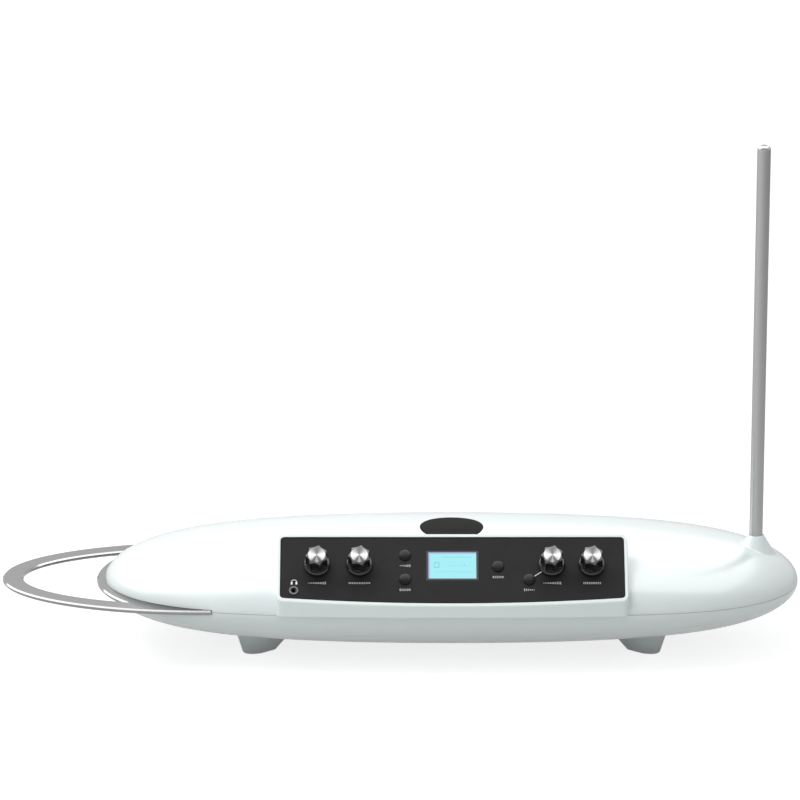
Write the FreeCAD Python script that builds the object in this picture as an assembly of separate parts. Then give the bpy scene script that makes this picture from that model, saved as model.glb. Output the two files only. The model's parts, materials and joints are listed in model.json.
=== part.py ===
import FreeCAD, Part
import math
import os

# Desktop theremin: a boat-shaped two-shell housing with a sloping control
# panel, a flat loop antenna at the left end and a rod antenna at the right.
# Axes: +X towards the rod antenna, -Y towards the player, +Z up.
# Origin: centre of the mouth of the stand socket, on the underside.
# All sizes are millimetres and degrees.

V = FreeCAD.Vector
X_AXIS, Y_AXIS, Z_AXIS = V(1, 0, 0), V(0, 1, 0), V(0, 0, 1)

# ---- fits ----------------------------------------------------------------
FIT = 0.05            # radial clearance of a pin, bush or insert in its hole
SEAT = 0.1            # clearance round a plate dropped into a recess
LOOSE = 0.3           # clearance of a case part or lead round its neighbour

# ---- housing ---------------------------------------------------------------
BODY_LENGTH = 620.0
BODY_DEPTH = 215.2
CROWN_HEIGHT = 51.9   # parting plane to the top of the crown
KEEL_DEPTH = 49.6     # parting plane to the underside
PLAN_POWER = 4.6      # fullness of the outline seen from above
CROWN_BLEND = 0.7     # share of the slow fall in the outline seen from the front
TIP_FALL = 6          # power of the quick fall close to the tips
WALL = 3.0
TIP_FLAT = 0.1        # cut off each pointed tip
STATIONS = 13         # sections along the housing
SKIN_CHORDS = 20      # chords round half a section of the outer skin
CAVITY_CHORDS = 10    # chords round half a section of the inner skin

# ---- bezel and front panel -------------------------------------------------
PANEL_TILT = 45.0     # panel plane above the horizontal
BEZEL_WIDTH = 308.0
BEZEL_RUN = 50.5      # front to back, seen from above
BEZEL_OVERHANG = 5.6  # bezel front beyond the housing, at the middle
BEZEL_SILL = 10.7     # height of the upright wall below the sloping face
BEZEL_BOW = 3.9       # how far the front bows out, seen from above
BEZEL_CORNER = 5.0
RIM = 3.0             # white rim round the panel
PANEL_SINK = 0.8      # panel face below the rim
PANEL_THICK = 2.0
LEDGE_WIDTH = 3.0
LEDGE_THICK = 2.2

# ---- controls: share of the bezel's half width across, height up the slope ---
KNOB_ROW = 41.4
KNOB_SHARES = {"volume": -0.77, "pitch": -0.5286, "amount": 0.5662, "preset": 0.7935}
KNOB_TURNS = {"volume": 28.5, "pitch": 28.5, "amount": 25.7, "preset": 25.7}
SKIRT_RADIUS = 11.8
SKIRT_HEIGHT = 3.2
GRIP_RADIUS = 10.3
TOP_RADIUS = 9.7
KNOB_HEIGHT = 18.0
KNOB_GAP = 0.8        # knob underside above the panel face
LOBES = 7
FLUTE_RADIUS = 7.4
FLUTE_DEPTH = 1.7     # at the top of the grip
CAP_THICK = 1.8
CAP_BEVEL = 1.0
DISC_RADIUS = 7.5
DISC_PROUD = 0.25
DISC_THICK = 0.8
SHAFT_RADIUS = 3.0
BUSH_RADIUS = 3.5
BUSH_PROUD = 4.2      # bush above the panel face
NUT_FLATS = 10.0
NUT_THICK = 2.0
NUT_ROOM = 1.6        # between a nut's corners and the knob's hollow
POT_SIZE = 11.0
POT_DEPTH = 6.8       # also the space between panel and control board

BUTTON_SHARES = {
    "scale": (-0.2695, 50.5),
    "root": (-0.2695, 26.9),
    "setup": (0.2597, 39.5),
    "delay": (0.4364, 26.7),
}
BUTTON_RADIUS = 5.25
BUTTON_SIDE = 1.0     # straight side above the panel face
BUTTON_DOME = 1.3
BUTTON_FLANGE = 1.2   # retaining flange beyond the button, under the panel
BUTTON_FLANGE_THICK = 1.0
BUTTON_TRAVEL = 0.8
SWITCH_SIZE = 6.0

WINDOW_WIDTH = 45.4
WINDOW_HEIGHT = 28.8
WINDOW_ROW = 40.6
MODULE_WIDTH = 58.0
MODULE_HEIGHT = 31.0
MODULE_THICK = 4.6

PHONES_INSET = 15.1   # from the bezel's left side
PHONES_ROW = 15.9
PHONES_BODY = 9.0
PHONES_DEPTH = 14.0
PHONES_NECK = 3.5
PHONES_BORE = 1.8
PHONES_RING = 4.0
PHONES_MOUTH = 2.75
PHONES_RING_PROUD = 1.0

BOARD_THICK = 1.6
CONTROL_BOARD_INSET = 8.0
CONTROL_BOARD_LOW = 9.0
CONTROL_BOARD_HIGH = 53.0

# ---- badge on the crown ----------------------------------------------------
BADGE_RADIUS = 28.4
BADGE_FORWARD = 11.6
BADGE_THICK = 1.2
BADGE_PROUD = 0.3

# ---- loop antenna ----------------------------------------------------------
LOOP_INSET = 90.0     # loop's centre from the housing's left end
LOOP_LENGTH = 181.5   # half axes of the outer ellipse
LOOP_DEPTH = 100.0
LOOP_ARM = 18.5
LOOP_THICK = 4.2
LOOP_BEVEL = 1.3
LOOP_CUT_INSET = 99.0 # square end of both arms from the same end
WEB_LENGTH = 97.0     # half axes of the crescent that hugs the housing
WEB_DEPTH = 103.0
WEB_WIDTH = 30.0

# ---- rod antenna -----------------------------------------------------------
ROD_INSET = 38.0      # from the housing's right end
ROD_RADIUS = 6.0
ROD_TOP = 396.8       # above the parting plane
BOSS_TOP = 40.8       # above the parting plane
BOSS_FOOT = 14.0
BOSS_RADIUS = 7.3
BOSS_ANGLE = 30.0
BOSS_LIP = 5.0        # plastic above the ferrule
FERRULE_RADIUS = 8.2
FERRULE_LENGTH = 24.0
FERRULE_FLOOR = 2.0
ROD_CLEAR = 0.3       # rod in the lip of the boss

# ---- stand socket ----------------------------------------------------------
SOCKET_BORE = 7.6
SOCKET_RADIUS = 11.0
SOCKET_HEIGHT = 18.0
SOCKET_FLANGE = 15.0
SOCKET_FLANGE_THICK = 2.5
SOCKET_PROUD = 1.0
SOCKET_BOSS = 18.0

# ---- feet ------------------------------------------------------------------
FOOT_DROP = 9.0       # soles below the stand socket's mouth
FOOT_OUTER = 185.5    # footprint, from the middle of the housing
FOOT_INNER = 157.4
FOOT_FRONT = 38.0
FOOT_FRONT_INNER = 24.0
FOOT_BACK = 8.0
FOOT_CORNER = 4.0     # at the sole
CORNER_CHORDS = 5     # short chords round each corner of a foot
FOOT_FLARE = 1.95     # growth of the outline from sole to root
FOOT_ANCHOR = 177.8   # the outline grows about this distance from the middle
FOOT_ROOT = 26.0      # sole to root, before the housing trims it
PEG_RADIUS = 3.0
PEG_LENGTH = 6.0      # peg beyond the skin's outer face

# ---- rear connectors -------------------------------------------------------
COVE_WIDTH = 170.0
COVE_TOP = 8.0        # below the parting plane
COVE_HEIGHT = 26.0
COVE_FACE = 71.0      # distance of its back wall from the middle
COVE_WALL = 2.5
PLATE_THICK = 1.5
PLATE_INSET = 1.5     # plate edge from the cove's sides
PLATE_LAP = 3.0       # plate beyond the window behind it
JACK_ROW = 21.0       # connector axes below the parting plane
AUDIO_PLACES = {"pitch_cv_jack": -4.0, "audio_jack_left": 24.0, "audio_jack_right": 52.0}
AUDIO_BORE = 3.2
AUDIO_NECK = 4.6
AUDIO_BODY = (15.0, 26.0, 14.0)
AUDIO_NUT = 6.4
AUDIO_NUT_THICK = 2.0
AUDIO_BORE_DEPTH = 27.0
INLET_PLACE = -52.0
INLET_BODY = (9.0, 13.0, 11.0)
INLET_BORE = 3.2
INLET_DEPTH = 9.5
USB_PLACE = -30.0
USB_BODY = (12.0, 16.0, 11.0)
USB_SLOT = (8.5, 9.0, 7.8)
POWER_PLACE = -67.0
POWER_RADIUS = 4.0
POWER_TRAVEL = 2.0
POWER_PROUD = 2.5
POWER_STEM = 8.0      # button behind the rear plate
POWER_BODY = (10.0, 10.0, 10.0)
POWER_COLLAR = 1.0

MAIN_BOARD_WIDTH = 164.0
MAIN_BOARD_FRONT = 21.0
MAIN_BOARD_GAP = 2.0  # board to cove wall
BOARD_SCREW_INSET = 5.0
STANDOFF_RADIUS = 3.5
BOARD_SCREW = 1.5
BOARD_SCREW_HEAD = 2.8
BOARD_SCREW_HEAD_THICK = 2.0
BOARD_SCREW_LENGTH = 6.0
CHIP_SIZE = 20.0
CHIP_THICK = 2.0

# ---- speaker ---------------------------------------------------------------
SPEAKER_PLACE = -190.0
SPEAKER_TILT = 65.0   # axis above the horizontal, to the rear
SPEAKER_RADIUS = 25.0
SPEAKER_RIM = 2.5
SPEAKER_DEPTH = 16.0
SPEAKER_SINK = 10.0   # rim below the skin
MAGNET_RADIUS = 14.0
MAGNET_THICK = 7.0
CONE_RADIUS = 22.0
CONE_THICK = 0.8
COLLAR_THICK = 2.0
SLOT_COUNT = 9
SLOT_WIDTH = 1.8
SLOT_PITCH = 4.2

# ---- case screws: shares of the housing's half length and half depth ---------
SCREW_SHARES = [(-0.945, 0.205), (-0.945, -0.205), (0.775, 0.43), (0.775, -0.43),
                (-0.355, 0.78), (0.355, 0.78), (-0.42, -0.5), (0.42, -0.5)]
SCREW_RADIUS = 1.5
SCREW_HEAD = 3.0
SCREW_HEAD_THICK = 2.0
SCREW_SEAT = 10.0     # head's seat below the parting plane
SCREW_BITE = 9.0      # shank in the upper boss
BOSS_WALL = 2.6
HEAD_CLEAR = 0.4

# ---- values worked out from the sizes above --------------------------------
PARTING = KEEL_DEPTH + SOCKET_PROUD
BEZEL_FRONT = -(BODY_DEPTH / 2 + BEZEL_OVERHANG)
BEZEL_BACK = BEZEL_FRONT + BEZEL_RUN
FACE_LENGTH = BEZEL_RUN / math.cos(math.radians(PANEL_TILT))
FACE_BOW = BEZEL_BOW / math.cos(math.radians(PANEL_TILT))
PANEL_FACE = -PANEL_SINK
PANEL_UNDER = PANEL_FACE - PANEL_THICK
BOARD_FACE = PANEL_UNDER - POT_DEPTH
KNOB_BASE = PANEL_FACE + KNOB_GAP
JACK_Z = PARTING - JACK_ROW
MAIN_BOARD_TOP = JACK_Z - AUDIO_BODY[2] / 2
MAIN_BOARD_BACK = COVE_FACE - COVE_WALL - MAIN_BOARD_GAP
REACH = BODY_LENGTH + BODY_DEPTH  # longer than the object, for cutting tools
LOOP_CENTRE = LOOP_INSET - BODY_LENGTH / 2
LOOP_CUT = LOOP_CUT_INSET - BODY_LENGTH / 2
ROD_PLACE = BODY_LENGTH / 2 - ROD_INSET
KNOB_PLACES = {name: share * BEZEL_WIDTH / 2 for name, share in KNOB_SHARES.items()}
BUTTON_PLACES = {name: (share * BEZEL_WIDTH / 2, row)
                 for name, (share, row) in BUTTON_SHARES.items()}
PHONES_PLACE = (PHONES_INSET - BEZEL_WIDTH / 2, PHONES_ROW)
CASE_SCREWS = [(along * BODY_LENGTH / 2, across * BODY_DEPTH / 2)
               for along, across in SCREW_SHARES]


# ---- helpers ---------------------------------------------------------------
def save(name, shape):
    """Write one node."""
    shape.exportStep(f"parts/{name}.step")


def cylinder(radius, low, high, x=0.0, y=0.0):
    """Upright cylinder between two heights."""
    return Part.makeCylinder(radius, high - low, V(x, y, low), Z_AXIS)


def block(x, y, z):
    """Box from three (low, high) pairs."""
    return Part.makeBox(x[1] - x[0], y[1] - y[0], z[1] - z[0], V(x[0], y[0], z[0]))


def prism(wire, direction):
    """Solid swept from a closed flat wire."""
    return Part.Face(wire).extrude(direction)


def tube(outer, inner, low, high):
    """Upright ring."""
    return cylinder(outer, low, high).cut(cylinder(inner, low - 1, high + 1))


def fuse_all(shapes):
    """One solid from touching shapes."""
    return shapes[0].multiFuse(shapes[1:]).removeSplitter()


def on_panel(shape):
    """Turn a shape from panel axes (across, up the slope, out) into place."""
    placed = shape.copy()
    placed.rotate(V(0, 0, 0), X_AXIS, PANEL_TILT)
    placed.translate(V(0, BEZEL_FRONT, PARTING + BEZEL_SILL))
    return placed


def backwards(shape, x):
    """Turn a shape built along +Z to point to the rear, on a connector's axis."""
    placed = shape.copy()
    placed.rotate(V(0, 0, 0), X_AXIS, -90)
    placed.translate(V(x, COVE_FACE, JACK_Z))
    return placed


# ---- housing surfaces ------------------------------------------------------
def section(share, length, depth, height, chords):
    """One chorded half section of the hull, share -1..1 along its length."""
    across = depth / 2 * math.sqrt(1 - abs(share) ** PLAN_POWER)
    fall = CROWN_BLEND * share ** 2 + (1 - CROWN_BLEND) * abs(share) ** TIP_FALL
    tall = height * math.sqrt(1 - fall)
    squeeze = math.sqrt(abs(height) * 2 / depth)
    points = []
    for i in range(chords + 1):
        turn = math.pi * i / chords
        angle = math.atan2(squeeze * math.sin(turn), math.cos(turn))
        rise = tall * math.sin(angle) if 0 < i < chords else 0.0
        points.append(V(share * length / 2, across * math.cos(angle), PARTING + rise))
    return Part.makePolygon(points + points[:1])


def half_hull(inset, height, chords):
    """Closed half of the housing's form; a negative height is the lower half."""
    length = BODY_LENGTH - 2 * inset
    depth = BODY_DEPTH - 2 * inset
    tall = math.copysign(abs(height) - inset, height)
    start = math.acos(1 - 2 * TIP_FLAT / length)
    step = (math.pi - 2 * start) / (STATIONS - 1)
    shares = [-math.cos(start + i * step) for i in range(STATIONS)]
    sections = [section(s, length, depth, tall, chords) for s in shares]
    return Part.makeLoft(sections, True, False)


def plan_half_depth(x):
    """Half depth of the housing at the parting plane."""
    return BODY_DEPTH / 2 * math.sqrt(1 - abs(2 * x / BODY_LENGTH) ** PLAN_POWER)


def skin_height(x, y, height):
    """Height of the outer skin above the parting plane at a point."""
    share = abs(2 * x / BODY_LENGTH)
    fall = CROWN_BLEND * share ** 2 + (1 - CROWN_BLEND) * share ** TIP_FALL
    return height * math.sqrt(1 - fall) * math.sqrt(1 - (y / plan_half_depth(x)) ** 2)


# ---- bezel and panel outlines ----------------------------------------------
def rounded(solid, direction, radius):
    """Round the edges that run along a direction."""
    edges = [e for e in solid.Edges
             if len(e.Vertexes) == 2
             and abs(e.tangentAt(e.FirstParameter).dot(direction)) > 0.9999]
    return solid.makeFillet(radius, edges)


def rounded_outline(corners, radius):
    """Closed flat outline through corners that are rounded with short chords."""
    points = []
    for before, corner, after in zip(corners[-1:] + corners, corners, corners[1:] + corners[:1]):
        back, on = (before - corner).normalize(), (after - corner).normalize()
        half = math.acos(back.dot(on)) / 2
        centre = corner + (back + on).normalize() * (radius / math.sin(half))
        spoke = corner + back * (radius / math.tan(half)) - centre
        step = (180 - 2 * math.degrees(half)) / CORNER_CHORDS
        turns = [FreeCAD.Rotation(Z_AXIS, i * step) for i in range(CORNER_CHORDS + 1)]
        points += [centre + turn.multVec(spoke) for turn in turns]
    return Part.makePolygon(points + points[:1])


def bowed_outline(half_width, low, high, bow):
    """Flat outline with a bowed lower edge and three straight ones."""
    corner = low + bow
    left, right = V(-half_width, corner, 0), V(half_width, corner, 0)
    top_left, top_right = V(-half_width, high, 0), V(half_width, high, 0)
    front = Part.Arc(left, V(0, low, 0), right).toShape()
    sides = [Part.makeLine(right, top_right), Part.makeLine(top_right, top_left),
             Part.makeLine(top_left, left)]
    return Part.Wire([front] + sides)


def bezel_prism(inset, low, high):
    """Upright block with the bezel's outline seen from above."""
    outline = bowed_outline(BEZEL_WIDTH / 2 - inset, BEZEL_FRONT + inset,
                            BEZEL_BACK - inset, BEZEL_BOW)
    solid = prism(outline, V(0, 0, high - low))
    solid.translate(V(0, 0, low))
    return rounded(solid, Z_AXIS, BEZEL_CORNER - min(inset, BEZEL_CORNER / 2))


def above_panel(level):
    """Cutting block on the outer side of a plane parallel to the panel."""
    return on_panel(block((-REACH, REACH), (-REACH, REACH), (level, level + REACH)))


def face_block(inset, low, high, radius):
    """Block with the sloping face's outline, between two levels of the panel axes."""
    outline = bowed_outline(BEZEL_WIDTH / 2 - inset, inset, FACE_LENGTH - inset, FACE_BOW)
    solid = prism(outline, V(0, 0, high - low))
    solid.translate(V(0, 0, low))
    return on_panel(rounded(solid, Z_AXIS, radius))


# ---- antenna pieces that the shells are cut for ------------------------------
def ellipse_prism(along, across, low, high):
    """Elliptic block about the loop's centre."""
    flat = V(LOOP_CENTRE, 0, low)
    major, minor = V(along, 0, 0), V(0, across, 0)
    if across > along:
        major, minor = minor, major
    curve = Part.Ellipse(flat + major, flat + minor, flat)
    return prism(Part.Wire(curve.toShape()), V(0, 0, high - low))


def loop_outer(growth, low, high):
    """Loop's outer form, cut square at the arms' ends."""
    solid = ellipse_prism(LOOP_LENGTH + growth, LOOP_DEPTH + growth, low, high)
    beyond = block((LOOP_CUT + growth, REACH), (-REACH, REACH), (low - 1, high + 1))
    return solid.cut(beyond)


def loop_hole(low, high):
    """Opening between the arms and the crescent web."""
    hole = ellipse_prism(LOOP_LENGTH - LOOP_ARM, LOOP_DEPTH - LOOP_ARM, low, high)
    return hole.cut(ellipse_prism(WEB_LENGTH, WEB_DEPTH, low - 1, high + 1))


def loop_screws():
    """Case screws that pass through the loop's web."""
    return [(x, y) for x, y in CASE_SCREWS if x < LOOP_CUT]


def volume_antenna():
    """Flat plate bent round a finger-wide opening, bevelled all round."""
    low, high = PARTING - LOOP_THICK / 2, PARTING + LOOP_THICK / 2
    outer = loop_outer(0, low, high)
    curved = [e for e in outer.Edges if e.Curve.TypeId == "Part::GeomEllipse"]
    outer = outer.makeChamfer(LOOP_BEVEL, curved)
    inside = ellipse_prism(WEB_LENGTH - WEB_WIDTH, WEB_DEPTH - WEB_WIDTH, low - 1, high + 1)
    plate = outer.cut(loop_hole(low - 1, high + 1)).cut(inside)
    for x, y in loop_screws():
        plate = plate.cut(cylinder(SCREW_RADIUS + LOOSE, low - 1, high + 1, x, y))
    return plate


def pitch_antenna():
    """Round rod with a domed top, standing on the ferrule's floor."""
    foot = PARTING + BOSS_TOP - BOSS_LIP - FERRULE_LENGTH + FERRULE_FLOOR
    top = PARTING + ROD_TOP
    rod = cylinder(ROD_RADIUS, foot, top - ROD_RADIUS, ROD_PLACE)
    dome = Part.makeSphere(ROD_RADIUS, V(ROD_PLACE, 0, top - ROD_RADIUS))
    return rod.fuse(dome).removeSplitter()


def antenna_ferrule():
    """Metal cup that the rod drops into."""
    high = PARTING + BOSS_TOP - BOSS_LIP
    low = high - FERRULE_LENGTH
    cup = cylinder(FERRULE_RADIUS, low, high, ROD_PLACE)
    return cup.cut(cylinder(ROD_RADIUS + FIT, low + FERRULE_FLOOR, high + 1, ROD_PLACE))


def antenna_boss():
    """Cone on the upper shell that carries the ferrule."""
    spread = (BOSS_TOP - BOSS_FOOT) * math.tan(math.radians(BOSS_ANGLE))
    return Part.makeCone(BOSS_RADIUS + spread, BOSS_RADIUS, BOSS_TOP - BOSS_FOOT,
                         V(ROD_PLACE, 0, PARTING + BOSS_FOOT), Z_AXIS)


def boss_bores():
    """Rod hole through the lip and the ferrule's seat below it."""
    seat = PARTING + BOSS_TOP - BOSS_LIP
    rod_hole = cylinder(ROD_RADIUS + ROD_CLEAR, seat - 1, PARTING + BOSS_TOP + 1, ROD_PLACE)
    return rod_hole.fuse(cylinder(FERRULE_RADIUS + FIT, PARTING, seat, ROD_PLACE))


# ---- speaker ---------------------------------------------------------------
def at_speaker(shape):
    """Put a shape built along +Z on the speaker's axis, its zero on the skin."""
    skin_turn = math.atan(math.tan(math.radians(SPEAKER_TILT)) * CROWN_HEIGHT * 2 / BODY_DEPTH)
    y = plan_half_depth(SPEAKER_PLACE) * math.cos(skin_turn)
    z = skin_height(SPEAKER_PLACE, y, CROWN_HEIGHT)
    placed = shape.copy()
    placed.rotate(V(0, 0, 0), X_AXIS, SPEAKER_TILT - 90)
    placed.translate(V(SPEAKER_PLACE, y, PARTING + z))
    return placed


def speaker_collar():
    """Ring inside the upper shell that the speaker is seated on."""
    outer = SPEAKER_RADIUS
    return at_speaker(tube(outer, outer - COLLAR_THICK, -SPEAKER_SINK, SPEAKER_SINK))


def grille_slots():
    """Row of slots through the skin over the speaker."""
    reach = CONE_RADIUS - COLLAR_THICK / 2
    slots = []
    for i in range(SLOT_COUNT):
        x = (i - (SLOT_COUNT - 1) / 2) * SLOT_PITCH
        half = math.sqrt(reach ** 2 - x ** 2)
        slots.append(block((x - SLOT_WIDTH / 2, x + SLOT_WIDTH / 2), (-half, half),
                           (-SPEAKER_SINK, SPEAKER_SINK)))
    return [at_speaker(s) for s in slots]


def speaker():
    """Basket, magnet and rim in one piece."""
    rim = -SPEAKER_SINK
    throat = rim - SPEAKER_DEPTH + MAGNET_THICK
    basket = Part.makeCone(MAGNET_RADIUS, CONE_RADIUS + 1, rim - throat, V(0, 0, throat), Z_AXIS)
    hollow = Part.makeCone(MAGNET_RADIUS - 2, CONE_RADIUS, rim - throat - 2,
                           V(0, 0, throat + 2), Z_AXIS)
    flange = cylinder(SPEAKER_RADIUS, rim - SPEAKER_RIM, rim)
    magnet = cylinder(MAGNET_RADIUS + 2, rim - SPEAKER_DEPTH, throat)
    return at_speaker(fuse_all([basket, flange, magnet]).cut(hollow))


def speaker_cone():
    """Paper cone held at the basket's mouth."""
    rim = -SPEAKER_SINK
    depth = SPEAKER_DEPTH - MAGNET_THICK - 2
    inner = MAGNET_RADIUS - 2
    outer = Part.makeCone(inner - 1, CONE_RADIUS - FIT, depth, V(0, 0, rim - depth), Z_AXIS)
    hollow = Part.makeCone(inner - 1 - CONE_THICK, CONE_RADIUS - FIT - CONE_THICK, depth,
                           V(0, 0, rim - depth + CONE_THICK), Z_AXIS)
    return at_speaker(outer.cut(hollow))


# ---- housing shells --------------------------------------------------------
def screw_bosses(hull, low, high):
    """Posts for the case screws, trimmed to the skin."""
    posts = [cylinder(SCREW_RADIUS + BOSS_WALL, low, high, x, y) for x, y in CASE_SCREWS]
    return [p.common(hull) for p in posts]


def badge_blank(radius, top, bottom):
    """Round plate curved to the crown, between two distances from its skin."""
    bend = (BODY_DEPTH / 2) ** 2 / CROWN_HEIGHT
    start = V(-radius - 1, 0, PARTING + CROWN_HEIGHT - bend)
    shell = Part.makeCylinder(bend + top, 2 * radius + 2, start, X_AXIS)
    shell = shell.cut(Part.makeCylinder(bend + bottom, 2 * radius + 2, start, X_AXIS))
    return shell.common(cylinder(radius, PARTING, PARTING + 2 * CROWN_HEIGHT, 0, -BADGE_FORWARD))


def badge():
    """Plain disc let into the crown."""
    return badge_blank(BADGE_RADIUS, BADGE_PROUD, BADGE_PROUD - BADGE_THICK)


def bezel():
    """Solid wedge that carries the panel."""
    wedge = bezel_prism(0, PARTING, PARTING + BEZEL_SILL + FACE_LENGTH)
    return wedge.cut(above_panel(0))


def bezel_hollow():
    """Space inside the bezel, below the ledge."""
    hollow = bezel_prism(WALL, PARTING + WALL, PARTING + BEZEL_SILL + FACE_LENGTH)
    return hollow.cut(above_panel(PANEL_UNDER - LEDGE_THICK))


def top_shell():
    """Upper moulding: crown, bezel, antenna boss, collar and screw posts."""
    hull = half_hull(0, CROWN_HEIGHT, SKIN_CHORDS)
    shell = hull.fuse(bezel())
    shell = shell.cut(half_hull(WALL, CROWN_HEIGHT, CAVITY_CHORDS)).cut(bezel_hollow())
    inner = half_hull(WALL / 2, CROWN_HEIGHT, CAVITY_CHORDS)
    inside = screw_bosses(inner, PARTING, PARTING + CROWN_HEIGHT)
    inside.append(speaker_collar().common(inner))
    shell = shell.multiFuse(inside + [antenna_boss()])
    cuts = grille_slots()
    cuts.append(boss_bores())
    cuts.append(face_block(RIM, PANEL_UNDER, 1, BEZEL_CORNER - RIM / 2))
    cuts.append(face_block(RIM + LEDGE_WIDTH, PANEL_UNDER - LEDGE_THICK - 1, 1, BEZEL_CORNER / 2))
    cuts.append(badge_blank(BADGE_RADIUS + SEAT, BADGE_PROUD + 2, BADGE_PROUD - BADGE_THICK))
    cuts.append(loop_outer(LOOSE, PARTING - 1, PARTING + LOOP_THICK / 2 + FIT))
    pilot = SCREW_BITE + 1
    cuts += [cylinder(SCREW_RADIUS + FIT, PARTING - 1, PARTING + pilot, x, y)
             for x, y in CASE_SCREWS]
    return shell.cut(Part.makeCompound(cuts))


def cove(growth):
    """Recess for the rear connectors, or the same grown by its wall."""
    half = COVE_WIDTH / 2 + growth
    top = PARTING - COVE_TOP + growth
    return block((-half, half), (COVE_FACE - growth, REACH),
                 (top - COVE_HEIGHT - 2 * growth, top))


def cove_window():
    """Window in the cove's back wall, covered by the rear plate."""
    half = COVE_WIDTH / 2 - PLATE_INSET - PLATE_LAP
    top = PARTING - COVE_TOP - PLATE_INSET - PLATE_LAP
    low = PARTING - COVE_TOP - COVE_HEIGHT + PLATE_INSET + PLATE_LAP
    return block((-half, half), (COVE_FACE - COVE_WALL - 1, COVE_FACE + 1), (low, top))


def board_screw_places():
    """Corners of the main board."""
    x = MAIN_BOARD_WIDTH / 2 - BOARD_SCREW_INSET
    rows = (MAIN_BOARD_FRONT + BOARD_SCREW_INSET, MAIN_BOARD_BACK - BOARD_SCREW_INSET)
    return [(side * x, y) for side in (-1, 1) for y in rows]


def socket_seat():
    """Hole and flange recess for the stand socket."""
    hole = cylinder(SOCKET_RADIUS + FIT, -1, SOCKET_HEIGHT)
    return hole.fuse(cylinder(SOCKET_FLANGE + SEAT, -1, SOCKET_FLANGE_THICK))


def foot_peg_place():
    """Middle of a foot's peg, from the middle of the housing."""
    return (FOOT_OUTER + FOOT_INNER) / 2, (FOOT_FRONT_INNER + FOOT_BACK) / 2


def bottom_shell():
    """Lower moulding: keel, cove, board posts, socket boss and screw posts."""
    hull = half_hull(0, -KEEL_DEPTH, SKIN_CHORDS)
    cavity = half_hull(WALL, -KEEL_DEPTH, CAVITY_CHORDS).cut(cove(COVE_WALL))
    shell = hull.cut(cavity)
    inner = half_hull(WALL / 2, -KEEL_DEPTH, CAVITY_CHORDS)
    inside = screw_bosses(inner, 0, PARTING)
    board_low = MAIN_BOARD_TOP - BOARD_THICK
    inside += [cylinder(STANDOFF_RADIUS, 0, board_low, x, y).common(inner)
               for x, y in board_screw_places()]
    inside.append(cylinder(SOCKET_BOSS, SOCKET_PROUD + WALL / 2, SOCKET_HEIGHT))
    shell = shell.multiFuse(inside)
    cuts = [cove(0), cove_window(), socket_seat()]
    cuts.append(loop_outer(LOOSE, PARTING - LOOP_THICK / 2 - FIT, PARTING + 1))
    cuts += [cylinder(SCREW_RADIUS + LOOSE, 0, PARTING + 1, x, y) for x, y in CASE_SCREWS]
    cuts += [cylinder(SCREW_HEAD + HEAD_CLEAR, -1, PARTING - SCREW_SEAT, x, y)
             for x, y in CASE_SCREWS]
    cuts += [cylinder(BOARD_SCREW + FIT, board_low - BOARD_SCREW_LENGTH, board_low + 1, x, y)
             for x, y in board_screw_places()]
    peg_x, peg_y = foot_peg_place()
    cuts += [cylinder(PEG_RADIUS + FIT, 0, PARTING / 2, sx * peg_x, sy * peg_y)
             for sx in (-1, 1) for sy in (-1, 1)]
    return shell.cut(Part.makeCompound(cuts))


# ---- feet ------------------------------------------------------------------
def foot(hull):
    """Right rear foot, its root trimmed by the housing."""
    corners = [V(FOOT_INNER, FOOT_BACK, 0), V(FOOT_OUTER, FOOT_BACK, 0),
               V(FOOT_OUTER, FOOT_FRONT, 0), V(FOOT_INNER, FOOT_FRONT_INNER, 0)]
    centre = V(*foot_peg_place(), 0)
    anchor = V(FOOT_ANCHOR, centre.y, 0)
    roots = [anchor + (c - anchor) * FOOT_FLARE + V(0, 0, FOOT_ROOT) for c in corners]
    outlines = [rounded_outline(corners, FOOT_CORNER),
                rounded_outline(roots, FOOT_CORNER * FOOT_FLARE)]
    solid = Part.makeLoft(outlines, True, True)
    solid.translate(V(0, 0, -FOOT_DROP))
    peg_top = PARTING - skin_height(centre.x, centre.y, KEEL_DEPTH) + PEG_LENGTH
    peg = cylinder(PEG_RADIUS, 0, peg_top, centre.x, centre.y)
    return solid.cut(hull).fuse(peg).removeSplitter()


def feet():
    """Four mirrored feet by name."""
    right_rear = foot(half_hull(0, -KEEL_DEPTH, SKIN_CHORDS))
    right_front = right_rear.mirror(V(0, 0, 0), Y_AXIS)
    return {
        "foot_rear_right": right_rear,
        "foot_front_right": right_front,
        "foot_rear_left": right_rear.mirror(V(0, 0, 0), X_AXIS),
        "foot_front_left": right_front.mirror(V(0, 0, 0), X_AXIS),
    }


def stand_socket():
    """Flanged insert for a microphone stand."""
    insert = cylinder(SOCKET_RADIUS, 0, SOCKET_HEIGHT)
    insert = insert.fuse(cylinder(SOCKET_FLANGE, 0, SOCKET_FLANGE_THICK)).removeSplitter()
    return insert.cut(cylinder(SOCKET_BORE, -1, SOCKET_HEIGHT + 1))


# ---- front panel and controls ----------------------------------------------
def window_block(low, high, gap):
    """Display window or the hole for it, in panel axes."""
    half = WINDOW_WIDTH / 2 + gap
    tall = WINDOW_HEIGHT / 2 + gap
    return block((-half, half), (WINDOW_ROW - tall, WINDOW_ROW + tall), (low, high))


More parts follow.
